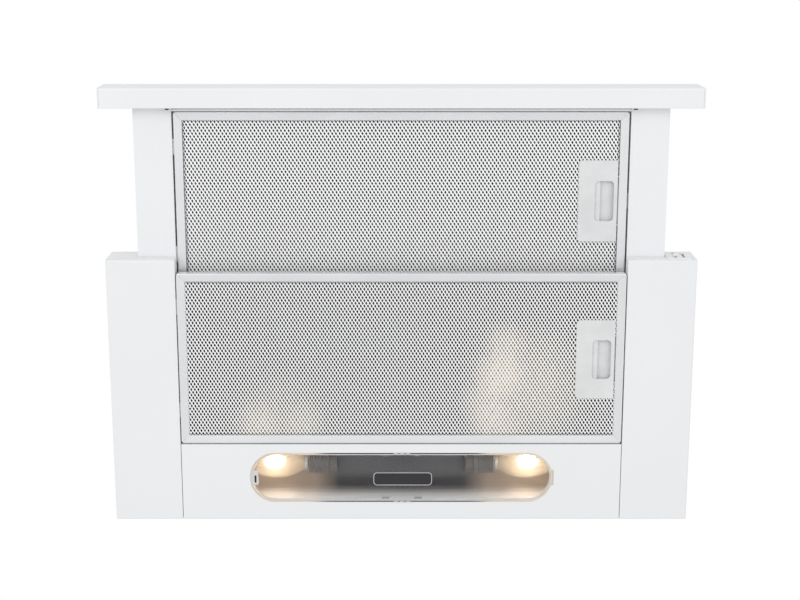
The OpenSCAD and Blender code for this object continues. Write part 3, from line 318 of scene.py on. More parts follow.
# %% Plastics and rubber
def moulding(name, colour, roughness, grain=2400.0, depth=0.12):
    material = finish(name, colour, roughness, IOR=1.5)
    darker = tuple(0.93 * c for c in colour)
    lighter = tuple(min(1.0, 1.05 * c) for c in colour)
    gloss = (120.0, 2.0, roughness - 0.05, roughness + 0.07)
    return textured(material, (40.0, 3.0, darker, lighter), gloss, [(grain, 2.0, depth)])


def rubber():
    material = moulding("black_rubber", (0.03, 0.03, 0.032), 0.75, 1800.0, 0.3)
    drive(material, "Sheen Weight", 0.15)
    return material


finishes["handle_plastic"] = moulding("handle_nylon", (0.735, 0.745, 0.75), 0.42)
finishes["grey_plastic"] = moulding("grey_casing", (0.5, 0.51, 0.52), 0.5)
finishes["dark_plastic"] = moulding("dark_casing", (0.05, 0.05, 0.053), 0.42)
finishes["black_rubber"] = rubber()
holder_brown = moulding("holder_brown", (0.17, 0.16, 0.155), 0.5)
print(len(finishes), "finishes so far")

# %% [markdown]
# The lens is clear plastic with a slight frost, so that the lamps show through it softly. Its
# pale marks and its bare plate are opaque. Its pale edge is a painted highlight along its rim.
# The gap round it is a ring with painted shadow, dark in the middle of the hood, and painted lamp
# light, warm and glowing, at both ends.

# %% Plastic and edges of the lens
# Dark of the printed plate, and of the painted shadow in the gap round the lens.
DARK_PLATE_AND_GAP_SHADOW = (0.028, 0.028, 0.032)


def clear_lens():
    material = finish("clear_lens", (0.995, 0.995, 1.0), 0.1, Transmission_Weight=1.0, IOR=1.25, Alpha=0.45)
    return textured(material, gloss=(90.0, 2.0, 0.08, 0.16), bumps=[(160.0, 1.0, 0.03)], distance=0.5 * MM)


# Pale plastic for the marks on the lens; along the lens's edge the same pale colour is a painted highlight.
def pale_marks_and_edge_highlight():
    material = finish("pale_marks_and_edge_highlight", (0.86, 0.85, 0.83), 0.4, Transmission_Weight=0.3, IOR=1.46)
    return textured(material, bumps=[(1400.0, 2.0, 0.2)])


def plate_print():
    material = finish("plate_print", DARK_PLATE_AND_GAP_SHADOW, 0.35, IOR=1.4)
    return textured(material, gloss=(300.0, 2.0, 0.3, 0.45), bumps=[(900.0, 2.0, 0.1)], distance=0.1 * MM)


def beside_lamps(material, start, end):
    """0 in the middle of the hood and 1 beside both lamps."""
    place = node(material, "ShaderNodeSeparateXYZ", Vector=surface(material))
    return spread(material, math_node(material, "ABSOLUTE", out(place, "X")), 0.0, 1.0, start, end)


# The ring in the gap round the lens: a painted shadow in the middle, and painted warm lamp light, with a
# glow, beside both lamps.
def gap_painted_shadow_and_glow():
    material = finish("gap_painted_shadow_and_glow", DARK_PLATE_AND_GAP_SHADOW, 0.45, Emission_Color=(1.0, 0.8, 0.58, 1.0))
    beside = beside_lamps(material, 0.07, 0.1)
    drive(material, "Base Color", colour_between(material, beside, DARK_PLATE_AND_GAP_SHADOW, (0.52, 0.4, 0.27)))
    drive(material, "Emission Strength", spread(material, beside, 0.0, 0.28, 0.0, 1.0))
    return textured(material, bumps=[(900.0, 2.0, 0.1)], distance=0.1 * MM)


finishes["lens_plastic"] = clear_lens()
lens_pale_and_highlight, plate_dark, gap_shadow_finish = pale_marks_and_edge_highlight(), plate_print(), gap_painted_shadow_and_glow()
print("lens:", finishes["lens_plastic"].name, lens_pale_and_highlight.name, plate_dark.name, gap_shadow_finish.name)

# %% [markdown]
# The lamps are small candle bulbs: a frosted envelope that glows warm, most of all near its
# middle, and inside it a white hot core. Both are emission, the envelope's weaker and partly
# see-through, so the core shows at its true depth from any side. The glow is measured from the
# core's middle, and ABSOLUTE folds the left lamp onto the right one.

# %% Lamp glass and its core
BULB_LENGTH = 68.0
CORE_HEIGHT = 32.0
LAMP_SHIFT = Vector((0.0, -2.4, 1.0)) * MM
CORE_SHIFT = Vector((0.0, -0.6, 2.0)) * MM


def lit_envelope(core_middle):
    glow = {"Emission_Color": (1.0, 0.8, 0.56, 1.0), "Emission_Strength": 0.5}
    material = finish("lit_envelope", (0.42, 0.36, 0.28), 0.3, Alpha=0.5, **glow)
    folded = node(material, "ShaderNodeVectorMath", {"operation": "ABSOLUTE"}, Vector=surface(material))
    away = distance_from(material, out(folded), [abs(c) for c in core_middle])
    drive(material, "Emission Strength", spread(material, away, 0.75, 0.12, 9.0 * MM, 24.0 * MM))
    return textured(material, (60.0, 2.0, (0.38, 0.32, 0.24), (0.46, 0.4, 0.32)), bumps=[(60.0, 2.0, 0.05)])


def hot_core():
    glow = {"Emission_Color": (1.0, 0.84, 0.64, 1.0), "Emission_Strength": 16.0}
    material = finish("hot_core", (1.0, 0.9, 0.75), 0.5, **glow)
    return textured(material, bumps=[(300.0, 1.0, 0.1)], distance=0.2 * MM)


bulb_low, bulb_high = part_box("bulb_right")
core_middle = (bulb_low + bulb_high) / 2 + LAMP_SHIFT + CORE_SHIFT
core_middle.x = bulb_high.x - (BULB_LENGTH - CORE_HEIGHT) * MM
finishes["bulb_glass"] = lit_envelope(core_middle)
core_glow = hot_core()
print("all slots:", sorted(finishes), "and a core at", tuple(round(c, 4) for c in core_middle))

# %% [markdown]
# Above the lens lies a tray. Its walls are bright rolled sheet; its roof has painted shade, grey
# between the sockets and darker towards the rear, and painted warm lamp light over the lamps,
# which is why the lens looks dark in the middle and light along its rear edge. Height and place
# choose between the three, and the walls give off a weak painted glow for the lamps' light that
# they pass on.

# %% Metal of the lamp tray, with painted light and shade
TRAY_SHEET = 0.8 * MM


def blend_colours(material, factor, first, second):
    mixed = node(material, "ShaderNodeMix", {"data_type": "RGBA"}, Factor=factor, A=first, B=second)
    return out(mixed, "Result")


def tray_painted_light_and_shade(roof_height):
    material = finish("tray_painted_light_and_shade", (0.86, 0.87, 0.88), 0.4, 0.2, Emission_Color=(1.0, 0.95, 0.89, 1.0))
    rolled = noise(material, 24.0, 3.0, (1.0, 30.0, 30.0))
    bright = colour_between(material, rolled, (0.93, 0.94, 0.95), (0.98, 0.985, 0.99))
    place = node(material, "ShaderNodeSeparateXYZ", Vector=surface(material))
    # Painted shade on the roof, darker towards the rear; painted warm lamp light over the lamps; a painted
    # glow on the walls.
    to_rear = spread(material, out(place, "Y"), 0.0, 1.0, 0.098, 0.111)
    roof_painted_shade = colour_between(material, to_rear, (0.15, 0.15, 0.158), (0.055, 0.055, 0.06))
    roof_painted_lamp_light = colour_between(material, rolled, (0.32, 0.26, 0.21), (0.38, 0.32, 0.27))
    roof = blend_colours(material, beside_lamps(material, 0.066, 0.092), roof_painted_shade, roof_painted_lamp_light)
    below = spread(material, out(place, "Z"), 1.0, 0.0, roof_height - 9.0 * MM, roof_height - 0.6 * MM)
    drive(material, "Base Color", blend_colours(material, below, roof, bright))
    drive(material, "Emission Strength", spread(material, below, 0.0, 0.17, 0.0, 1.0))
    drive(material, "Roughness", spread(material, rolled, 0.34, 0.48))
    raise_surface(material, [(rolled, 0.06)], 0.2 * MM)
    return material


tray_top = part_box("lamp_tray")[1].z
tray_metal = tray_painted_light_and_shade(tray_top - TRAY_SHEET)
print("tray:", tray_metal.name, "with its roof at", round(tray_top, 4))

# %% [markdown]
# Every part of the frame now gets the finish of its slot, so the rails, the fan and the other
# inner parts are done. The parts that are replaced later get it too, since a hidden part costs
# nothing.

# %% Finish for the frame's own parts
def wear(piece, slot, material=None):
    piece.data.materials.clear()
    piece.data.materials.append(material or finishes[slot])


for name, part in nodes.items():
    wear(part, slot_of[name])
print(len(nodes), "parts have a finish")

# %% [markdown]
# The pieces made here are either built point by point or worked out by modifiers. Both end as a
# plain mesh that hangs on a body of the frame, and it stands for the parts that it replaces. The
# steps that repeat become helpers: `bridge` joins loops of points by faces, `applied` works the
# modifiers in, and `smooth` shades curved faces evenly. Weighted normals keep the large faces
# flat to the light there, which smooth shading alone would not.

# %% Helpers for pieces of our own
def link(data, name):
    """A new object for a mesh, a lamp or a camera."""
    piece = bpy.data.objects.new(name, data)
    bpy.context.scene.collection.objects.link(piece)
    return piece


def mesh_from(build, name):
    mesh = bpy.data.meshes.new(name)
    build.to_mesh(mesh)
    build.free()
    return mesh


def piece_from(build, name):
    """A piece of the shape that was built, with all its faces turned outwards."""
    bmesh.ops.recalc_face_normals(build, faces=build.faces)
    return link(mesh_from(build, name), name)


def bridge(build, loops, round_again=False):
    """Joins each loop of points to the next one, with faces of four corners."""
    for first, second in zip(loops, loops[1:] + loops[:1] * round_again):
        for i in range(len(first)):
            j = (i + 1) % len(first)
            build.faces.new((first[i], first[j], second[j], second[i]))


def applied(piece):
    """The piece with its modifiers worked into a plain mesh."""
    evaluated = piece.evaluated_get(bpy.context.evaluated_depsgraph_get())
    mesh = bpy.data.meshes.new_from_object(evaluated)
    piece.modifiers.clear()
    piece.data = mesh
    return piece


def smooth(piece, angle=45.0):
    """Smooth shading with sharp edges over an angle, and large faces kept flat."""
    piece.data.polygons.foreach_set("use_smooth", [True] * len(piece.data.polygons))
    piece.data.set_sharp_from_angle(angle=math.radians(angle))
    weights = piece.modifiers.new("flat faces", "WEIGHTED_NORMAL")
    weights.keep_sharp = True
    weights.weight = 80
    return applied(piece)


def bevelled(piece, radius, segments=2, angle=40.0):
    bevel = piece.modifiers.new("edges", "BEVEL")
    bevel.width = radius * MM
    bevel.segments = segments
    bevel.limit_method = "ANGLE"
    bevel.angle_limit = math.radians(angle)
    return smooth(applied(piece))


def stand_for(piece, *names, material=None):
    """Hangs the piece on the body of the parts that it replaces."""
    wear(piece, slot_of[names[0]], material)
    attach(piece, body_of[names[0]])
    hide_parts(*names)
    print(piece.name, "has", len(piece.data.polygons), "faces, and stands for", *names)


print("helpers for pieces are ready")

# %% [markdown]
# Folded sheet and moulded plastic never end in a sharp edge, and it is the light along the
# rounded edge that shows where one part stops. A frame part has sharp edges, so a copy of it is
# merged into one skin, its flat triangles are joined, and a Bevel modifier rounds what is left.
# Modelling each part anew would do too, but the copy keeps the frame's outer faces as they are.

# %% Rounded copies of the frame's parts
SAME_POINT = 2e-6


def skin_of(name):
    """A merged copy of a frame part's mesh, with its flat faces joined."""
    build = bmesh.new()
    build.from_mesh(nodes[name].data)
    bmesh.ops.remove_doubles(build, verts=build.verts, dist=SAME_POINT)
    bmesh.ops.dissolve_limit(build, angle_limit=math.radians(0.6), verts=build.verts, edges=build.edges)
    return mesh_from(build, name + "_skin")


def rounded(name, radius, material=None):
    stand_for(bevelled(link(skin_of(name), name + "_finished"), radius), name, material=material)


edge_radius = {
    "fascia": 0.5, "fascia_cap_left": 0.5, "fascia_cap_right": 0.5, "fascia_strip": 0.3,
    "drawer_side_left": 0.35, "drawer_side_right": 0.35, "drawer_front_rail": 0.3,
    "drawer_rear_rail": 0.2, "drawer_top": 0.25, "wing_left": 0.5, "wing_right": 0.5,
    "lamp_panel": 0.2, "control_bezel": 0.25, "speed_knob": 0.3, "light_knob": 0.3,
    "front_handle": 0.35, "rear_handle": 0.35, "housing_shell": 0.3, "housing_lid": 0.3,
    "chassis": 0.3, "buffers": 0.5, "outlet_collar": 0.4, "cable_gland": 0.4,
}
for name, radius in edge_radius.items():
    rounded(name, radius)
nylon = finishes["handle_plastic"]
for name, material in (("front_latch", nylon), ("rear_latch", nylon), ("lamp_tray", tray_metal)):
    rounded(name, 0.35, material)

# %% [markdown]
# The grease filters are what the eye goes to. Each sheet is aluminium foil that is slit and
# stretched until the slits open into diamonds, 3.6 to 3.8 mm apart along the sheet and 3 mm from
# row to row, each row moved by half a step. An image with holes would be flat from the side, and
# modelling each strand by hand would never end. Geometry Nodes suit it: a tree of nodes makes the
# sheet from a few named numbers. First come the helpers that any tree needs.

# %% Helpers for Geometry Nodes
def new_tree(name, wanted):
    """A tree with named inputs, each of a kind and with a value where it needs one."""
    tree = bpy.data.node_groups.new(name, "GeometryNodeTree")
    tree.interface.new_socket(name="Geometry", in_out="INPUT", socket_type="NodeSocketGeometry")
    inputs = {}
    for title, (kind, *value) in wanted.items():
        socket = tree.interface.new_socket(name=title, in_out="INPUT", socket_type="NodeSocket" + kind)
        if value:
            socket.default_value = value[0]
        inputs[title] = socket.identifier
    tree.interface.new_socket(name="Geometry", in_out="OUTPUT", socket_type="NodeSocketGeometry")
    given = {socket.name: socket for socket in tree.nodes.new("NodeGroupInput").outputs}
    return tree, inputs, given


def tools_for(tree):
    """Short ways to add a geometry node, a sum, a vector and a vector's part to this tree."""
    def geo(kind, settings=(), output=None, **inputs):
        return out(node(tree, "GeometryNode" + kind, settings, **inputs), output)

    def calc(operation, a, b=0.0):
        return math_node(tree, operation, a, b)

    def vector(**parts):
        return out(node(tree, "ShaderNodeCombineXYZ", **parts))

    def along(axis, value):
        return out(node(tree, "ShaderNodeSeparateXYZ", Vector=value), axis)

    return geo, calc, vector, along


def close_tree(tree, shape, material):
    """Makes the instances real, and gives them their material."""
    real = node(tree, "GeometryNodeRealizeInstances", Geometry=shape)
    painted = node(tree, "GeometryNodeSetMaterial", Geometry=out(real), Material=material)
    tree.links.new(out(painted), tree.nodes.new("NodeGroupOutput").inputs[0])
    print(tree.name, "has", len(tree.nodes), "nodes")


def grown(carrier, tree, inputs, values):
    """Runs the tree on the carrier, and keeps what it makes as a plain mesh."""
    modifier = carrier.modifiers.new("grown", "NODES")
    modifier.node_group = tree
    for title, value in values.items():
        modifier[inputs[title]] = value
    return applied(carrier)


print("a tree gets its inputs by name, and the modifier sets them by identifier")

# %% [markdown]
# The sheet starts as points on a grid, with every second row moved by half a pitch. The points in
# the well of the handle are left out. On each point stands one diamond, a circle of four corners,
# and merging the corners that meet joins the diamonds into a sheet.

# %% From a grid to diamonds
sheet_tree, sheet_inputs, given = new_tree("expanded_sheet", {
    "Columns": ("Int", 10), "Rows": ("Int", 10), "Pitch": ("Float", 0.0038), "Row step": ("Float", 0.0031),
    "Opening": ("Float", 0.7), "Twist": ("Float", 0.0003), "Slant": ("Float", 0.0),
    "Thickness": ("Float", 0.0003), "Pleat": ("Float", 0.015), "Pleat height": ("Float", 0.0),
    "Centre": ("Vector",), "Well low": ("Vector",), "Well high": ("Vector",), "Material": ("Material",),
})
geo, calc, vector, along = tools_for(sheet_tree)
columns, rows, pitch, row_step = (given[title] for title in ("Columns", "Rows", "Pitch", "Row step"))
across = calc("MULTIPLY", calc("SUBTRACT", columns, 1.0), pitch)
back = calc("MULTIPLY", calc("SUBTRACT", rows, 1.0), row_step)
grid = geo("MeshGrid", Size_X=across, Size_Y=back, Vertices_X=columns, Vertices_Y=rows)
odd = calc("MODULO", calc("MODULO", geo("InputIndex"), rows), 2.0)
aside = calc("MULTIPLY", calc("SUBTRACT", odd, 0.5), calc("MULTIPLY", pitch, 0.5))
points = geo("SetPosition", Geometry=grid, Offset=vector(X=aside))
points = geo("SetPosition", Geometry=points, Offset=given["Centre"])

place = geo("InputPosition")
inside = 1.0
for axis in "XY":
    above = calc("GREATER_THAN", along(axis, place), along(axis, given["Well low"]))
    below = calc("LESS_THAN", along(axis, place), along(axis, given["Well high"]))
    inside = calc("MULTIPLY", inside, calc("MULTIPLY", above, below))
points = geo("DeleteGeometry", {"domain": "POINT"}, Geometry=points, Selection=inside)

diamond = geo("MeshCircle", {"fill_type": "NGON"}, Vertices=4, Radius=1.0)
diamond = geo("Transform", Geometry=diamond, Scale=vector(X=calc("MULTIPLY", pitch, 0.5), Y=row_step, Z=1.0))
diamonds = geo("RealizeInstances", Geometry=geo("InstanceOnPoints", Points=points, Instance=diamond))
whole = geo("MergeByDistance", Geometry=diamonds, Distance=0.0001)
print("so far", len(sheet_tree.nodes), "nodes, and a sheet of whole diamonds")

# %% [markdown]
# Each diamond is pierced by shrinking a copy of its own face and taking that away, so what stays
# are the strands. They twist as the foil is stretched: a sine along the rows lifts one edge of a
# hole and sinks the other, and leans the two apart. The same step can fold the sheet into pleats.
# The foil's thickness comes last, from a lifted copy and the sheet turned over.

# %% Pierced, twisted and thick
EACH_FACE, ON_FACES = {"mode": "FACES"}, {"domain": "FACE"}
inset = geo("ExtrudeMesh", EACH_FACE, Mesh=whole, Offset_Scale=0.0, Individual=True)
inner = out(inset.node, "Top")
shrunk = geo("ScaleElements", ON_FACES, Geometry=inset, Selection=inner, Scale=given["Opening"])
strands = geo("DeleteGeometry", ON_FACES, Geometry=shrunk, Selection=inner)

from_centre = calc("SUBTRACT", along("Y", place), along("Y", given["Centre"]))
wave = calc("SINE", calc("MULTIPLY", calc("DIVIDE", from_centre, row_step), 2.0 * math.pi))
half_pleat = calc("MULTIPLY", given["Pleat"], 0.5)
fold = calc("DIVIDE", calc("PINGPONG", along("X", place), half_pleat), half_pleat)
rise = calc("ADD", calc("MULTIPLY", wave, given["Twist"]), calc("MULTIPLY", fold, given["Pleat height"]))
lean = calc("MULTIPLY", wave, given["Slant"])
foil = geo("SetPosition", Geometry=strands, Offset=vector(X=lean, Z=rise))

up = vector(Z=given["Thickness"])
lifted = geo("ExtrudeMesh", EACH_FACE, Mesh=foil, Offset=up, Offset_Scale=1.0, Individual=False)
both_sides = sheet_tree.nodes.new("GeometryNodeJoinGeometry")
for side in (geo("FlipFaces", Mesh=foil), lifted):
    sheet_tree.links.new(side, both_sides.inputs[0])
close_tree(sheet_tree, geo("MergeByDistance", Geometry=out(both_sides), Distance=0.00001), given["Material"])

# %% [markdown]
# A filter holds two such sheets, and between them a pleated sheet that catches the grease. All
# three are the same tree with other numbers. The outer sheet is bright, its back has painted shade
# and the foil between has darker painted shade, which is why the openings read as dark diamonds
# between white strands.
# The sheet's size comes from the frame's part: as many diamonds as fit under the rim, and none in
# the handle's well.

# %% Sheets of both filters
RIM = 9.0 * MM
UNDER_RIM = 2.5 * MM
WELL_BESIDE_LATCH = 9.0 * MM
WELL_ROUND_LATCH = 2.5 * MM
OFF_THE_FLOOR = 0.02 * MM
FAR_RIGHT = 1.0
BACK_OPENING = 0.6
PAD_PITCH, PAD_STEP = 5.8 * MM, 4.4 * MM
PAD_TWIST, PAD_FOIL, PLEAT_HEIGHT = 0.15 * MM, 0.15 * MM, 4.4 * MM


def expanded_sheet(name, material, pitch, step, opening, twist=0.12 * MM, thickness=0.3 * MM, **more):
    low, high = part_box(name)
    centre = (low + high) / 2
    half_x = (high.x - low.x) / 2 - RIM + UNDER_RIM
    half_y = (high.y - low.y) / 2 - RIM + UNDER_RIM
    columns = 2 * int(half_x / pitch) + 1
    rows = 2 * int(half_y / step) + 1
    latch_low, latch_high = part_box(name.split("_")[0] + "_latch")
    values = {
        "Columns": columns, "Rows": rows, "Pitch": pitch, "Row step": step, "Opening": opening,
        "Twist": twist, "Thickness": thickness, "Material": material,
        "Centre": (centre.x, centre.y, low.z + twist + OFF_THE_FLOOR),
        "Well low": (latch_low.x - WELL_BESIDE_LATCH, latch_low.y - WELL_ROUND_LATCH, 0.0),
        "Well high": (FAR_RIGHT, latch_high.y + WELL_ROUND_LATCH, 0.0),
        **{title.replace("_", " "): value for title, value in more.items()},
    }
    carrier = link(bpy.data.meshes.new(name + "_expanded"), name + "_expanded")
    stand_for(grown(carrier, sheet_tree, sheet_inputs, values), name, material=material)
    carrier.data.polygons.foreach_set("use_smooth", [False] * len(carrier.data.polygons))
    print(columns, "x", rows, "diamonds")


for filter_name, pitch, step, outer_opening, inner_opening, slant, foil in (
        ("front", 3.791 * MM, 2.968 * MM, 0.65, 0.52, -0.3 * MM, painted_shade_pad_foil),
        ("rear", 3.649 * MM, 2.952 * MM, 0.69, 0.42, -0.18 * MM, painted_shade_and_glow_foil)):
    expanded_sheet(filter_name + "_mesh", finishes["mesh_aluminium"], pitch, step, outer_opening, Slant=slant)
    expanded_sheet(filter_name + "_back_mesh", painted_shade_back_foil, pitch, step, BACK_OPENING)
    expanded_sheet(filter_name + "_pad", foil, PAD_PITCH, PAD_STEP, inner_opening, PAD_TWIST, PAD_FOIL,
        Pleat_height=PLEAT_HEIGHT)

# %% [markdown]
# The sheets are held in a frame of four aluminium bars, rolled to a channel and mitred at the
# corners. A swept profile gives the channel, but the mitre is the detail that shows, so each bar
# is its own closed solid: its profile is carried along the side, and at each end every point runs
# on to the diagonal. Points near the outer edge go round the corner's small arc, the rest go
# straight. A hair's breadth is left between two bars, as on the real frame.

# %% Mitred bars
CORNER = 3.0
HAIR = 0.06
STEPS_ROUND = 4
# across the bar from its outer edge, and up from the underside, in mm
bar_profile = [(0.0, 0.9), (0.12, 0.45), (0.45, 0.12), (0.9, 0.0), (1.6, 0.0), (2.9, 0.13), (8.1, 0.72),
    (8.5, 0.92), (8.5, 1.32), (1.2, 1.4), (1.2, 8.0), (9.0, 8.0), (9.0, 8.85), (8.7, 9.0), (0.9, 9.0),
    (0.45, 8.88), (0.12, 8.55), (0.0, 8.1)]


def bar_end(inward, step):
    """Where a profile point stands at a bar's end: along the bar and across it, in mm."""
    if inward < CORNER:
        turn = math.radians(45.0 * (1.0 - step / STEPS_ROUND))
        reach = CORNER - inward
        return CORNER - reach * math.sin(turn) + HAIR, CORNER - reach * math.cos(turn)
    return inward + 0.2 * step + HAIR, inward


def add_bar(build, start, along_way, across_way, length):
    """One bar from a corner: its way along the side, its way inwards, and its length in mm."""
    near_end = [[(*bar_end(u, step), v) for u, v in bar_profile] for step in range(STEPS_ROUND + 1)]
    far_end = [[(length - a, b, v) for a, b, v in ring] for ring in reversed(near_end)]
    loops = []
    for ring in near_end + far_end:
        places = [start + (along_way * a + across_way * b + Vector((0, 0, v))) * MM for a, b, v in ring]
        loops.append([build.verts.new(place) for place in places])
    bridge(build, loops)
    build.faces.new(loops[0])
    build.faces.new(list(reversed(loops[-1])))


print("a bar has", len(bar_profile), "points round its profile, and", 2 * STEPS_ROUND + 2, "rings")

# %% [markdown]
# A filter's frame is four such bars. Its right side has a slot for the latch, and two flat tabs on
# its left side hook into the wing panel. The slot is cut by a Boolean, because its outline crosses
# the profile. The tabs are only blocks, so they are simply added.

# %% Frames of both filters
TAB_OUT = 4.5 * MM
TAB_DISTANCE = 55.0 * MM
TAB_HALF = 8.0 * MM
TAB_UNDERSIDE, TAB_TOP = 2.8 * MM, 4.0 * MM
SLOT_HALF = 8.5 * MM
SLOT_UNDERSIDE, SLOT_TOP = 4.3 * MM, 6.1 * MM


def add_block(build, low, high):
    size = Vector(high) - Vector(low)
    centre = (Vector(high) + Vector(low)) / 2
    place = Matrix.Translation(centre) @ Matrix.Diagonal((*size, 1.0))
    bmesh.ops.create_cube(build, size=1.0, matrix=place)


def cut_out(piece, low, high):
    """Cuts a block out of the piece with an exact Boolean."""
    build = bmesh.new()
    add_block(build, low, high)
    cutter = link(mesh_from(build, "cutter"), "cutter")
    cut = piece.modifiers.new("cut", "BOOLEAN")
    cut.operation = "DIFFERENCE"
    cut.solver = "EXACT"
    cut.object = cutter
    applied(piece)
    bpy.data.objects.remove(cutter)


def mitred_frame(name):
    low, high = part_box(name)
    x0, x1, middle = low.x + TAB_OUT, high.x, (low.y + high.y) / 2
    length, width = (x1 - x0) / MM, (high.y - low.y) / MM
    right, back = Vector((1, 0, 0)), Vector((0, 1, 0))
    build = bmesh.new()
    add_bar(build, Vector((x0, low.y, low.z)), right, back, length)
    add_bar(build, Vector((x0, high.y, low.z)), right, -back, length)
    add_bar(build, Vector((x0, low.y, low.z)), back, right, width)
    add_bar(build, Vector((x1, low.y, low.z)), back, -right, width)
    piece = piece_from(build, name + "_bars")
    slot_low = (x1 - 1.3 * MM, middle - SLOT_HALF, low.z + SLOT_UNDERSIDE)
    cut_out(piece, slot_low, (x1 + 1.0 * MM, middle + SLOT_HALF, low.z + SLOT_TOP))
    build = bmesh.new()
    build.from_mesh(piece.data)
    for y in (middle - TAB_DISTANCE, middle + TAB_DISTANCE):
        tab_low = (low.x, y - TAB_HALF, low.z + TAB_UNDERSIDE)
        add_block(build, tab_low, (x0 + 0.6 * MM, y + TAB_HALF, low.z + TAB_TOP))
    piece.data = mesh_from(build, name + "_bars")
    stand_for(bevelled(piece, 0.1, 1, 50.0), name)


for filter_name in ("front", "rear"):
    mitred_frame(filter_name + "_frame")

# %% [markdown]
# The lens is a capsule of clear plastic. Its pale edge, a painted highlight, lies flush in the
# panel, and inside that the face swells down by a millimetre and a half. It is made ring by ring:
# the capsule's outline is moved inwards, each ring at its own height. The face goes in to the
# centre line over the outside, then back over the inside. The edge is a ring of its own with a
# closed section, and so is a dark ring behind it, the painted shadow of the gap round the lens.
# At the left end all three are notched for the finger catch.

# %% Shell of the lens
LAMP_ROW = 92.6 * MM
LENS_FACE = -43.0 * MM
LENS_RADIUS = 26.4
LENS_WALL = 1.4
DOME_START = 1.3
DOME_WIDTH = 13.0
DOME_DEPTH = 1.4
lens_low, lens_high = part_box("lens")
lens_half = (lens_high.x - lens_low.x) / 2 / MM
lens_middle = Vector(((lens_high.x + lens_low.x) / 2, LAMP_ROW, LENS_FACE))


def capsule_ring(inset, height, turns=20, lengthwise=24):
    """The lens outline moved inwards, as points in mm round its middle."""
    radius = LENS_RADIUS - inset
    straight = lens_half - LENS_RADIUS
    ring = []
    for side, start in ((1, -90.0), (-1, 90.0)):
        for i in range(turns + 1):
            a = math.radians(start + 180.0 * i / turns)
            ring.append((side * straight + radius * math.cos(a), radius * math.sin(a), height))
        for i in range(1, lengthwise):
            ring.append((side * straight * (1.0 - 2.0 * i / lengthwise), side * radius, height))
    return ring


def dome(inset):
    """Height of the outer face under the panel's face, in mm."""
    t = min(1.0, max(0.0, (inset - DOME_START) / DOME_WIDTH))
    return -0.15 - DOME_DEPTH * (1.0 - (1.0 - t) ** 2.4)


def closed_rings(rings, name):
    """Joins each ring to the next, and the last to the first, except two that are shrunk to a line."""
    build = bmesh.new()
    loops = []
    for inset, height in rings:
        loops.append([build.verts.new(lens_middle + Vector(p) * MM) for p in capsule_ring(inset, height)])
    for k in range(len(rings)):
        after = (k + 1) % len(rings)
        if min(rings[k][0], rings[after][0]) < LENS_RADIUS:
            bridge(build, [loops[k], loops[after]])
    bmesh.ops.remove_doubles(build, verts=build.verts, dist=1e-6)
    bmesh.ops.dissolve_degenerate(build, dist=1e-7, edges=build.edges)
    return piece_from(build, name)


def curved_smooth(piece):
    """Smooth shading on the curved faces only, so that light goes straight through the flat ones."""
    faces = piece.data.polygons
    faces.foreach_set("use_smooth", [abs(face.normal.z) < 0.9999 for face in faces])
    piece.data.set_sharp_from_angle(angle=math.radians(50.0))
    return piece


insets = (1.32, 1.6, 2.2, 3.0, 4.2, 6.0, 8.4, 11.0, 14.3, 19.0, LENS_RADIUS)
face_rings = [(inset, dome(inset)) for inset in insets]
face_rings += [(inset, dome(inset) + LENS_WALL) for inset in reversed(insets)]
edge_rings = [(0.6, 1.7), (0.6, 0.1), (0.7, -0.1), (0.85, -0.18), (1.1, -0.18), (1.25, -0.12), (1.3, 0.1)]
edge_rings += [(1.3, 1.7)]
# The ring behind the edge is a painted shadow, the dark of the gap round the lens.
gap_shadow_rings = [(-0.5, 1.7), (-0.5, 0.3), (0.61, 0.3), (0.61, 1.7)]
notch_low = lens_middle + Vector((-lens_half - 1.0, -8.0, -2.0)) * MM
notch_high = lens_middle + Vector((-lens_half + 7.0, 8.0, 2.6)) * MM
for name, rings, material in (("lens_face", face_rings, finishes["lens_plastic"]),
        ("lens_rim", edge_rings, lens_pale_and_highlight), ("lens_seat", gap_shadow_rings, gap_shadow_finish)):
    piece = closed_rings(rings, name)
    cut_out(piece, notch_low, notch_high)
    stand_for(curved_smooth(piece), "lens", material=material)

# %% [markdown]
# Small things sit on the lens. A raised pale outline marks a dark plate in its middle, which
# stays bare. The finger catch fills the notch: a pale tongue with a dark slot. Tongues with barbs
# reach up past the ledge and hold the lens, and in the middle of each long edge a lug bridges the
# gap to the panel. All of them are outlines given a height, or blocks, so a few helpers do.

# %% Outlines, slabs and posts
def rounded_outline(width, depth, radius, at=(0.0, 0.0), count=8):
    points = []
    for cx, cy, start in ((1, 1, 0.0), (-1, 1, 90.0), (-1, -1, 180.0), (1, -1, 270.0)):
        for i in range(count + 1):
            a = math.radians(start + 90.0 * i / count)
            points.append((at[0] + cx * (width / 2 - radius) + radius * math.cos(a),
                at[1] + cy * (depth / 2 - radius) + radius * math.sin(a)))
    return points


def raised(build, centre, outline, height):
    return [build.verts.new(centre + Vector((x, y, height)) * MM) for x, y in outline]


def add_frame(build, centre, outer, inner, low, high):
    """A closed ring between two outlines, from one height to another, in mm."""
    corners = ((outer, low), (outer, high), (inner, high), (inner, low))
    bridge(build, [raised(build, centre, outline, height) for outline, height in corners], True)


def add_slab(build, centre, outline, low, high):
    """A closed slab with that outline, from one height to another, in mm."""
    loops = [raised(build, centre, outline, height) for height in (low, high)]
    bridge(build, loops)
    build.faces.new(list(reversed(loops[0])))
    build.faces.new(loops[1])


def add_post(build, x, y, half_x, half_y, low, high):
    """A block round a place on the lens, from one height to another, in mm."""
    near, far = Vector((x - half_x, y - half_y, low)), Vector((x + half_x, y + half_y, high))
    add_block(build, lens_middle + near * MM, lens_middle + far * MM)


print("an outline has", len(rounded_outline(6.0, 15.4, 1.2)), "points")

# %% [markdown]
# Pale, dark and clear plastic are gathered in one piece each. The two outlines of the plate leave
# a line of 0.6 mm between them, and the dark plate lies a hair lower than that line.

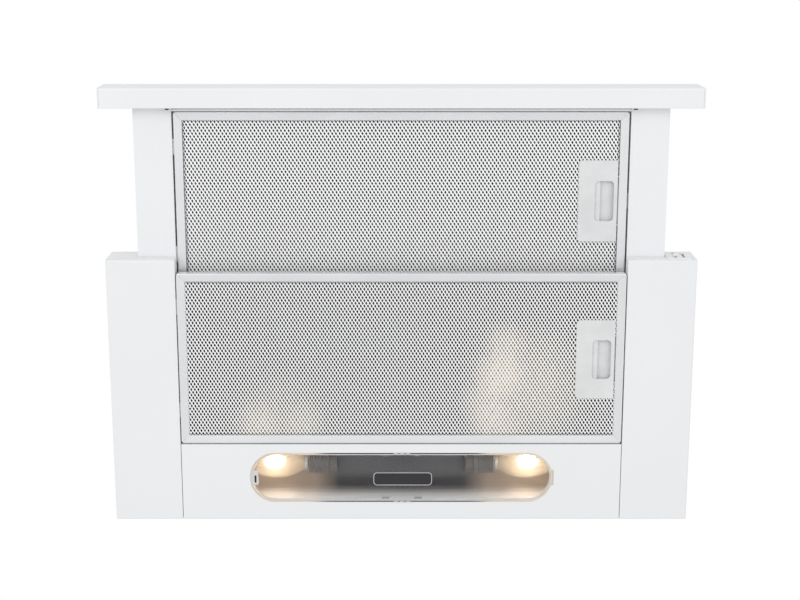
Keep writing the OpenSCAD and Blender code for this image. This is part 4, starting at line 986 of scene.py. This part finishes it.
# %% Plate outline, finger catch, lugs and barbs
plate_at = lens_middle + Vector((0.8, 0.9, 0.0)) * MM
catch_at = lens_middle + Vector((-lens_half + 4.2, 0.0, 0.0)) * MM
catch_slot = rounded_outline(2.0, 8.4, 0.9, at=(-0.3, 1.6))
pale, dark, clear = bmesh.new(), bmesh.new(), bmesh.new()
add_frame(pale, plate_at, rounded_outline(60.9, 14.0, 4.0), rounded_outline(59.7, 12.8, 3.4), -1.75, -1.4)
add_frame(pale, catch_at, rounded_outline(6.0, 15.4, 1.2), catch_slot, -0.3, 1.4)
add_slab(dark, plate_at, rounded_outline(59.6, 12.7, 3.35), -1.62, -1.4)
add_slab(dark, catch_at, catch_slot, 0.3, 1.4)
for side in (-1.0, 1.0):
    add_post(pale, 0.0, side * (LENS_RADIUS + 0.5), 8.6, 0.75, -0.3, 1.2)
    for x in (-3.2, 3.2):
        add_post(dark, x, side * (LENS_RADIUS + 0.1), 0.7, 0.45, -0.36, 0.2)
    for x in (-17.0, 17.0):
        add_post(clear, x, side * (LENS_RADIUS - 3.3), 4.0, 0.5, 0.9, 6.0)
        add_post(clear, x, side * (LENS_RADIUS - 2.55), 4.0, 0.45, 3.6, 4.6)
for build, name, material in ((pale, "lens_marks", lens_pale_and_highlight), (dark, "lens_plate", plate_dark),
        (clear, "lens_barbs", finishes["lens_plastic"])):
    stand_for(bevelled(piece_from(build, name), 0.06, 1, 50.0), "lens", material=material)

# %% [markdown]
# A candle bulb is a lathe shape, so its outline is turned about its own axis. A Screw modifier
# could turn it too, but a loop also gives the cap its thread, which is a true helix: the radius
# of each point depends on its height and its angle together.

# %% Turned shapes with and without a thread
def add_turned(build, outline, place, count=32, pitch=0.0, depth=0.0, ring=False):
    """Turns (radius, height) points in mm about Z; a pitch adds a thread; a ring joins its ends."""
    loops = []
    for radius, height in outline:
        loop = []
        for i in range(count):
            a = 2.0 * math.pi * i / count
            r = radius
            if pitch:
                wave = (height / pitch - i / count) % 1.0
                r -= depth * abs(2.0 * wave - 1.0)
            loop.append(build.verts.new(place @ (Vector((r * math.cos(a), r * math.sin(a), height)) * MM)))
        loops.append(loop)
    bridge(build, loops, ring)
    if not ring:
        build.faces.new(list(reversed(loops[0])))
        build.faces.new(loops[-1])


def lamp_place(side):
    """Frame of a lamp: its origin is the bulb's neck and its Z runs along the bulb, out to the side."""
    low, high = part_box("bulb_" + side)
    way = 1.0 if side == "right" else -1.0
    neck = (low + high) / 2 + LAMP_SHIFT
    neck.x = (high.x if way > 0 else low.x) - way * BULB_LENGTH * MM
    return Matrix.Translation(neck) @ Matrix.Rotation(math.radians(90.0 * way), 4, "Y")


print("the right lamp's neck is at", tuple(round(c, 4) for c in lamp_place("right").translation))

# %% [markdown]
# Three pieces make a bulb: the frosted envelope, the white hot core inside, and the metal cap.
# The envelope's outline is a power of a sine, which is blunt at the neck and drawn out at the tip.

# %% Candle bulbs
BULB_RADIUS = 15.0
NECK_RADIUS = 6.6
CORE_RADIUS = 6.6
CORE_HALF = 10.5
THREAD_PITCH = 3.0
THREAD_DEPTH = 0.5


def candle_radius(t):
    return max(NECK_RADIUS, BULB_RADIUS * math.sin(math.pi * t ** 0.8) ** 0.62)


glass = [(NECK_RADIUS, 0.0)] + [(candle_radius(i / 32), BULB_LENGTH * i / 32) for i in range(2, 32)]
glass += [(1.2, BULB_LENGTH - 0.4), (0.3, BULB_LENGTH)]
arc = [math.pi * i / 12 for i in range(1, 12)]
core = [(CORE_RADIUS * math.sin(a), CORE_HEIGHT - CORE_HALF * math.cos(a)) for a in arc]
cap_end = [(3.2, -22.0), (3.2, -20.0), (5.6, -19.0)]
cap_thread = [(6.8, -18.8 + 0.3 * i) for i in range(52)]
cap_lip = [(6.4, -2.9), (6.7, -2.4), (6.7, 0.4)]


def bulb_pieces(side):
    name = "bulb_" + side
    place = lamp_place(side)
    thread = (cap_thread, place, 32, THREAD_PITCH, THREAD_DEPTH)
    for ending, material, turned in (
            ("_envelope", finishes["bulb_glass"], [(glass, place, 40)]),
            ("_core", core_glow, [(core, Matrix.Translation(CORE_SHIFT) @ place, 24)]),
            ("_cap", finishes["zinc_steel"], [(cap_end, place), thread, (cap_lip, place)])):
        build = bmesh.new()
        for shape in turned:
            add_turned(build, *shape)
        stand_for(smooth(piece_from(build, name + ending), 50.0), name, material=material)


for side in ("left", "right"):
    bulb_pieces(side)

# %% [markdown]
# A lamp holder is a ribbed sleeve round the bulb's cap, on a bracket that hangs from the tray's
# roof. The roof's two spare holes are closed with flat plugs, so no light from above comes in.
# Both are turned like the bulb, the sleeve as a ring, since it is open at both ends.

# %% Lamp holders and plugs
PLUG_DISTANCE = 40.0 * MM
BRACKET_FROM, BRACKET_TO = 25.4 * MM, 33.0 * MM
BRACKET_FRONT, BRACKET_BACK, BRACKET_RISE = 12.0 * MM, 28.6 * MM, 8.2 * MM
sleeve = [(6.9, -4.2), (10.2, -4.2), (10.8, -4.8)]
sleeve += [(10.8 if i % 2 else 10.3, -6.0 - 1.2 * i) for i in range(14)]
sleeve += [(11.6, -23.0), (11.6, -25.0), (11.2, -25.4), (9.0, -25.4), (9.0, -33.6), (6.9, -33.6)]
plug = [(4.0, -0.5), (6.6, -0.4), (6.8, 0.0), (5.9, 0.2), (5.9, 0.7)]


def holder_piece(side):
    name = "holder_" + side
    low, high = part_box(name)
    place = lamp_place(side)
    build = bmesh.new()
    add_turned(build, sleeve, place, 36, ring=True)
    axis = place.translation
    way = 1.0 if side == "right" else -1.0
    near, far = sorted((axis.x - way * BRACKET_FROM, axis.x - way * BRACKET_TO))
    bracket_low = (near, axis.y - BRACKET_FRONT, axis.z + BRACKET_RISE)
    add_block(build, bracket_low, (far, low.y + BRACKET_BACK, high.z))
    stand_for(smooth(piece_from(build, name + "_sleeve"), 40.0), name, material=holder_brown)


for side in ("left", "right"):
    holder_piece(side)
build = bmesh.new()
for x in (-PLUG_DISTANCE, PLUG_DISTANCE):
    add_turned(build, plug, Matrix.Translation((x, LAMP_ROW, tray_top - TRAY_SHEET)), 28)
stand_for(smooth(piece_from(build, "tray_plugs"), 40.0), "lamp_tray", material=tray_metal)

# %% [markdown]
# Screws repeat all over the hood, so only one is modelled, with a head of radius 1. Its head has a
# cross pressed in, and its shank a thread. Each ring of points keeps the twelve directions of the
# cross's corners, so the rings join up from the floor of the cross to the tip.

# %% One screw
ARM, REACH = 0.13, 0.6
CROSS_FLOOR, HEAD_TOP = 0.2, 0.5
SHANK_RADIUS = 0.46
SCREW_PITCH, RIDGE = 0.44, 0.1
THREAD_STEPS, THREAD_STEP = 36, 0.11
SCREW_LENGTH = THREAD_STEPS * THREAD_STEP


def screw_mesh():
    """A pan head screw of head radius 1, its axis on Z and its head's underside on z = 0."""
    build = bmesh.new()
    cross = []
    for quarter in range(4):
        turn = Matrix.Rotation(quarter * math.pi / 2.0, 2)
        cross += [tuple(turn @ Vector(corner)) for corner in ((REACH, ARM), (ARM, ARM), (ARM, REACH))]
    around = [math.atan2(y, x) for x, y in cross]
    top = [build.verts.new((x, y, HEAD_TOP)) for x, y in cross]
    loops = [[build.verts.new((0.8 * x, 0.8 * y, CROSS_FLOOR)) for x, y in cross], top]
    for radius, height in ((0.84, 0.46), (1.0, 0.2), (1.0, 0.0), (SHANK_RADIUS, 0.0)):
        loops.append([build.verts.new((radius * math.cos(a), radius * math.sin(a), height)) for a in around])
    for turn in range(1, THREAD_STEPS + 1):
        height = -THREAD_STEP * turn
        ring = []
        for a in around:
            wave = abs(2.0 * ((height / SCREW_PITCH - a / (2.0 * math.pi)) % 1.0) - 1.0)
            r = SHANK_RADIUS - RIDGE * wave
            ring.append(build.verts.new((r * math.cos(a), r * math.sin(a), height)))
        loops.append(ring)
    build.faces.new(loops[0])
    bridge(build, loops)
    build.faces.new(loops[-1])
    bmesh.ops.recalc_face_normals(build, faces=build.faces)
    return mesh_from(build, "screw")


one_screw = screw_mesh()
print("a screw has", len(one_screw.polygons), "faces")

# %% [markdown]
# Geometry Nodes set a copy of that screw on each place. A place is a point that carries the way
# its screw looks, as a named attribute, and Align Rotation turns the copy that way. Linked
# objects would do as well, but the tree gives all screws of a part as one piece.

# %% A tree that sets screws on places
placing_tree, placing_inputs, given = new_tree("screws_on_places", {
    "Screw": ("Object",), "Head radius": ("Float", 0.003), "Length": ("Float", 0.004),
    "Material": ("Material",),
})
geo, calc, vector, along = tools_for(placing_tree)
screw = geo("ObjectInfo", output="Geometry", Object=given["Screw"])
size = vector(X=given["Head radius"], Y=given["Head radius"], Z=calc("DIVIDE", given["Length"], SCREW_LENGTH))
way = geo("InputNamedAttribute", {"data_type": "FLOAT_VECTOR"}, Name="way")
turn = out(node(placing_tree, "FunctionNodeAlignRotationToVector", {"axis": "Z"}, Vector=way))
screws = geo("InstanceOnPoints", Points=given["Geometry"], Instance=screw, Rotation=turn, Scale=size)
close_tree(placing_tree, screws, given["Material"])

# %% [markdown]
# The places are read from the frame's own screws. Each loose part there is one screw: its axis is
# its long side, or its short one when the other two are alike, and its head is at the end that
# has more points.

# %% Screws of the base, the housing and the fascia
HEAD_HEIGHT = 0.545
ALIKE = 5e-5


def loose_parts(name):
    """The points of each loose part of a frame part's mesh."""
    build = bmesh.new()
    build.from_mesh(nodes[name].data)
    bmesh.ops.remove_doubles(build, verts=build.verts, dist=SAME_POINT)
    left = set(build.verts)
    found = []
    while left:
        points, edge = [], [left.pop()]
        while edge:
            v = edge.pop()
            points.append(v.co.copy())
            for other in [e.other_vert(v) for e in v.link_edges]:
                if other in left:
                    left.discard(other)
                    edge.append(other)
        found.append(points)
    build.free()
    return found


def place_of(points):
    """Head seat, way out of the head, head radius and length of one screw."""
    low = Vector([min(p[k] for p in points) for k in range(3)])
    high = Vector([max(p[k] for p in points) for k in range(3)])
    middle, span = (low + high) / 2, high - low
    longest_is_axis = sorted(span)[2] - sorted(span)[1] >= ALIKE
    k = (max if longest_is_axis else min)(range(3), key=lambda i: span[i])
    beyond = sum(1 for p in points if p[k] > middle[k])
    sign = 1.0 if beyond > len(points) - beyond else -1.0
    way = Vector([sign if i == k else 0.0 for i in range(3)])
    radius = max(span[i] for i in range(3) if i != k) / 2
    seat = middle.copy()
    seat[k] = (high[k] if sign > 0 else low[k]) - sign * radius * HEAD_HEIGHT
    return seat, way, radius, span[k] - radius * HEAD_HEIGHT


def set_screws(name):
    seats, ways, radii, lengths = zip(*[place_of(points) for points in loose_parts(name)])
    template = link(one_screw.copy(), "screw_template")
    carrier_mesh = bpy.data.meshes.new(name + "_set")
    carrier_mesh.from_pydata(seats, [], [])
    directions = carrier_mesh.attributes.new("way", "FLOAT_VECTOR", "POINT")
    for i, way in enumerate(ways):
        directions.data[i].vector = way
    carrier = grown(link(carrier_mesh, name + "_set"), placing_tree, placing_inputs, {
        "Screw": template, "Head radius": radii[0], "Length": min(lengths),
        "Material": finishes["zinc_steel"],
    })
    bpy.data.objects.remove(template)
    stand_for(smooth(carrier, 40.0), name)


for name in ("base_screws", "housing_screws", "fascia_screws"):
    set_screws(name)

# %% [markdown]
# The photograph was taken from below and in front of the hood. Its camera is rebuilt from the
# corners of the fascia and the base, whose real sizes are known, and looks up at the open drawer.

# %% Camera
def look(name, place, forward, up):
    forward = Vector(forward).normalized()
    right = forward.cross(Vector(up)).normalized()
    turn = Matrix((right, right.cross(forward), -forward)).transposed().to_4x4()
    camera = link(bpy.data.cameras.new(name), name)
    camera.matrix_world = Matrix.Translation(place) @ turn
    return camera


PLACE, LOOKS_ALONG, PICTURE_TOP = (-0.0013, -0.4617, -1.553), (0.0, 0.2342, 0.9722), (0.0, -0.9722, 0.2342)
SENSOR, FOCAL_LENGTH = 36.0, 68.92
camera = look("camera", PLACE, LOOKS_ALONG, PICTURE_TOP)
camera.data.sensor_width = SENSOR
camera.data.lens = FOCAL_LENGTH
bpy.context.scene.camera = camera
print("camera at", tuple(camera.location), "with a", camera.data.lens, "mm lens")

# %% [markdown]
# The light is a plain white studio: an even white surround, a pale floor that sends light up to
# the hood's underside, and two large soft lamps below that are a little different, so that flat
# faces don't all have one tone. The background is white to the camera by Light Path, without
# adding light to the hood. Two weak warm lamps stand for what the bulbs send out through the
# louvres of their tray, up to the deck over the rear filter.

# %% Studio
SURROUND = 0.82
WARM = (1.0, 0.82, 0.62)


def area_lamp(name, place, size, watts, colour=(1.0, 1.0, 1.0), turn=None):
    """A lamp that looks at the frame's origin, or the way it is turned."""
    lamp = link(bpy.data.lights.new(name, "AREA"), name)
    lamp.data.shape = "RECTANGLE"
    lamp.data.size, lamp.data.size_y = size
    lamp.data.energy = watts
    lamp.data.color = colour
    lamp.location = place
    lamp.rotation_euler = turn or (-Vector(place)).to_track_quat("-Z", "Y").to_euler()


def white_surround(strength):
    world = bpy.data.worlds.new("studio")
    world.use_nodes = True
    tree = world.node_tree
    background = tree.nodes["Background"]
    background.inputs["Color"].default_value = (1.0, 1.0, 1.0, 1.0)
    path = tree.nodes.new("ShaderNodeLightPath")
    seen = math_node(tree, "MAXIMUM", path.outputs["Is Camera Ray"], path.outputs["Is Transmission Ray"])
    level = math_node(tree, "ADD", math_node(tree, "MULTIPLY", seen, 1.0 - strength), strength)
    feed(background.inputs["Strength"], level)
    bpy.context.scene.world = world


def pale_floor(height, size):
    build = bmesh.new()
    bmesh.ops.create_grid(build, x_segments=1, y_segments=1, size=size / 2)
    bmesh.ops.translate(build, verts=build.verts, vec=(0.0, 0.0, height))
    floor = link(mesh_from(build, "floor"), "floor")
    material = textured(finish("pale_floor", (0.9, 0.9, 0.9), 0.7), gloss=(3.0, 2.0, 0.6, 0.8))
    floor.data.materials.append(material)


white_surround(SURROUND)
pale_floor(-2.6, 16.0)
area_lamp("lamp_left", (-1.6, -1.2, -1.9), (1.6, 1.6), 15.6)
area_lamp("lamp_right", (1.5, -1.0, -1.9), (1.6, 1.6), 10.4)
area_lamp("spill_right", (0.133, 0.0, -0.019), (0.09, 0.1), 0.022, WARM, (math.pi, 0.0, 0.0))
area_lamp("spill_left", (-0.13, 0.03, -0.019), (0.09, 0.045), 0.011, WARM, (math.pi, 0.0, 0.0))
bpy.context.scene.view_settings.view_transform = "Standard"
print("studio with", len(bpy.data.lights), "lamps")
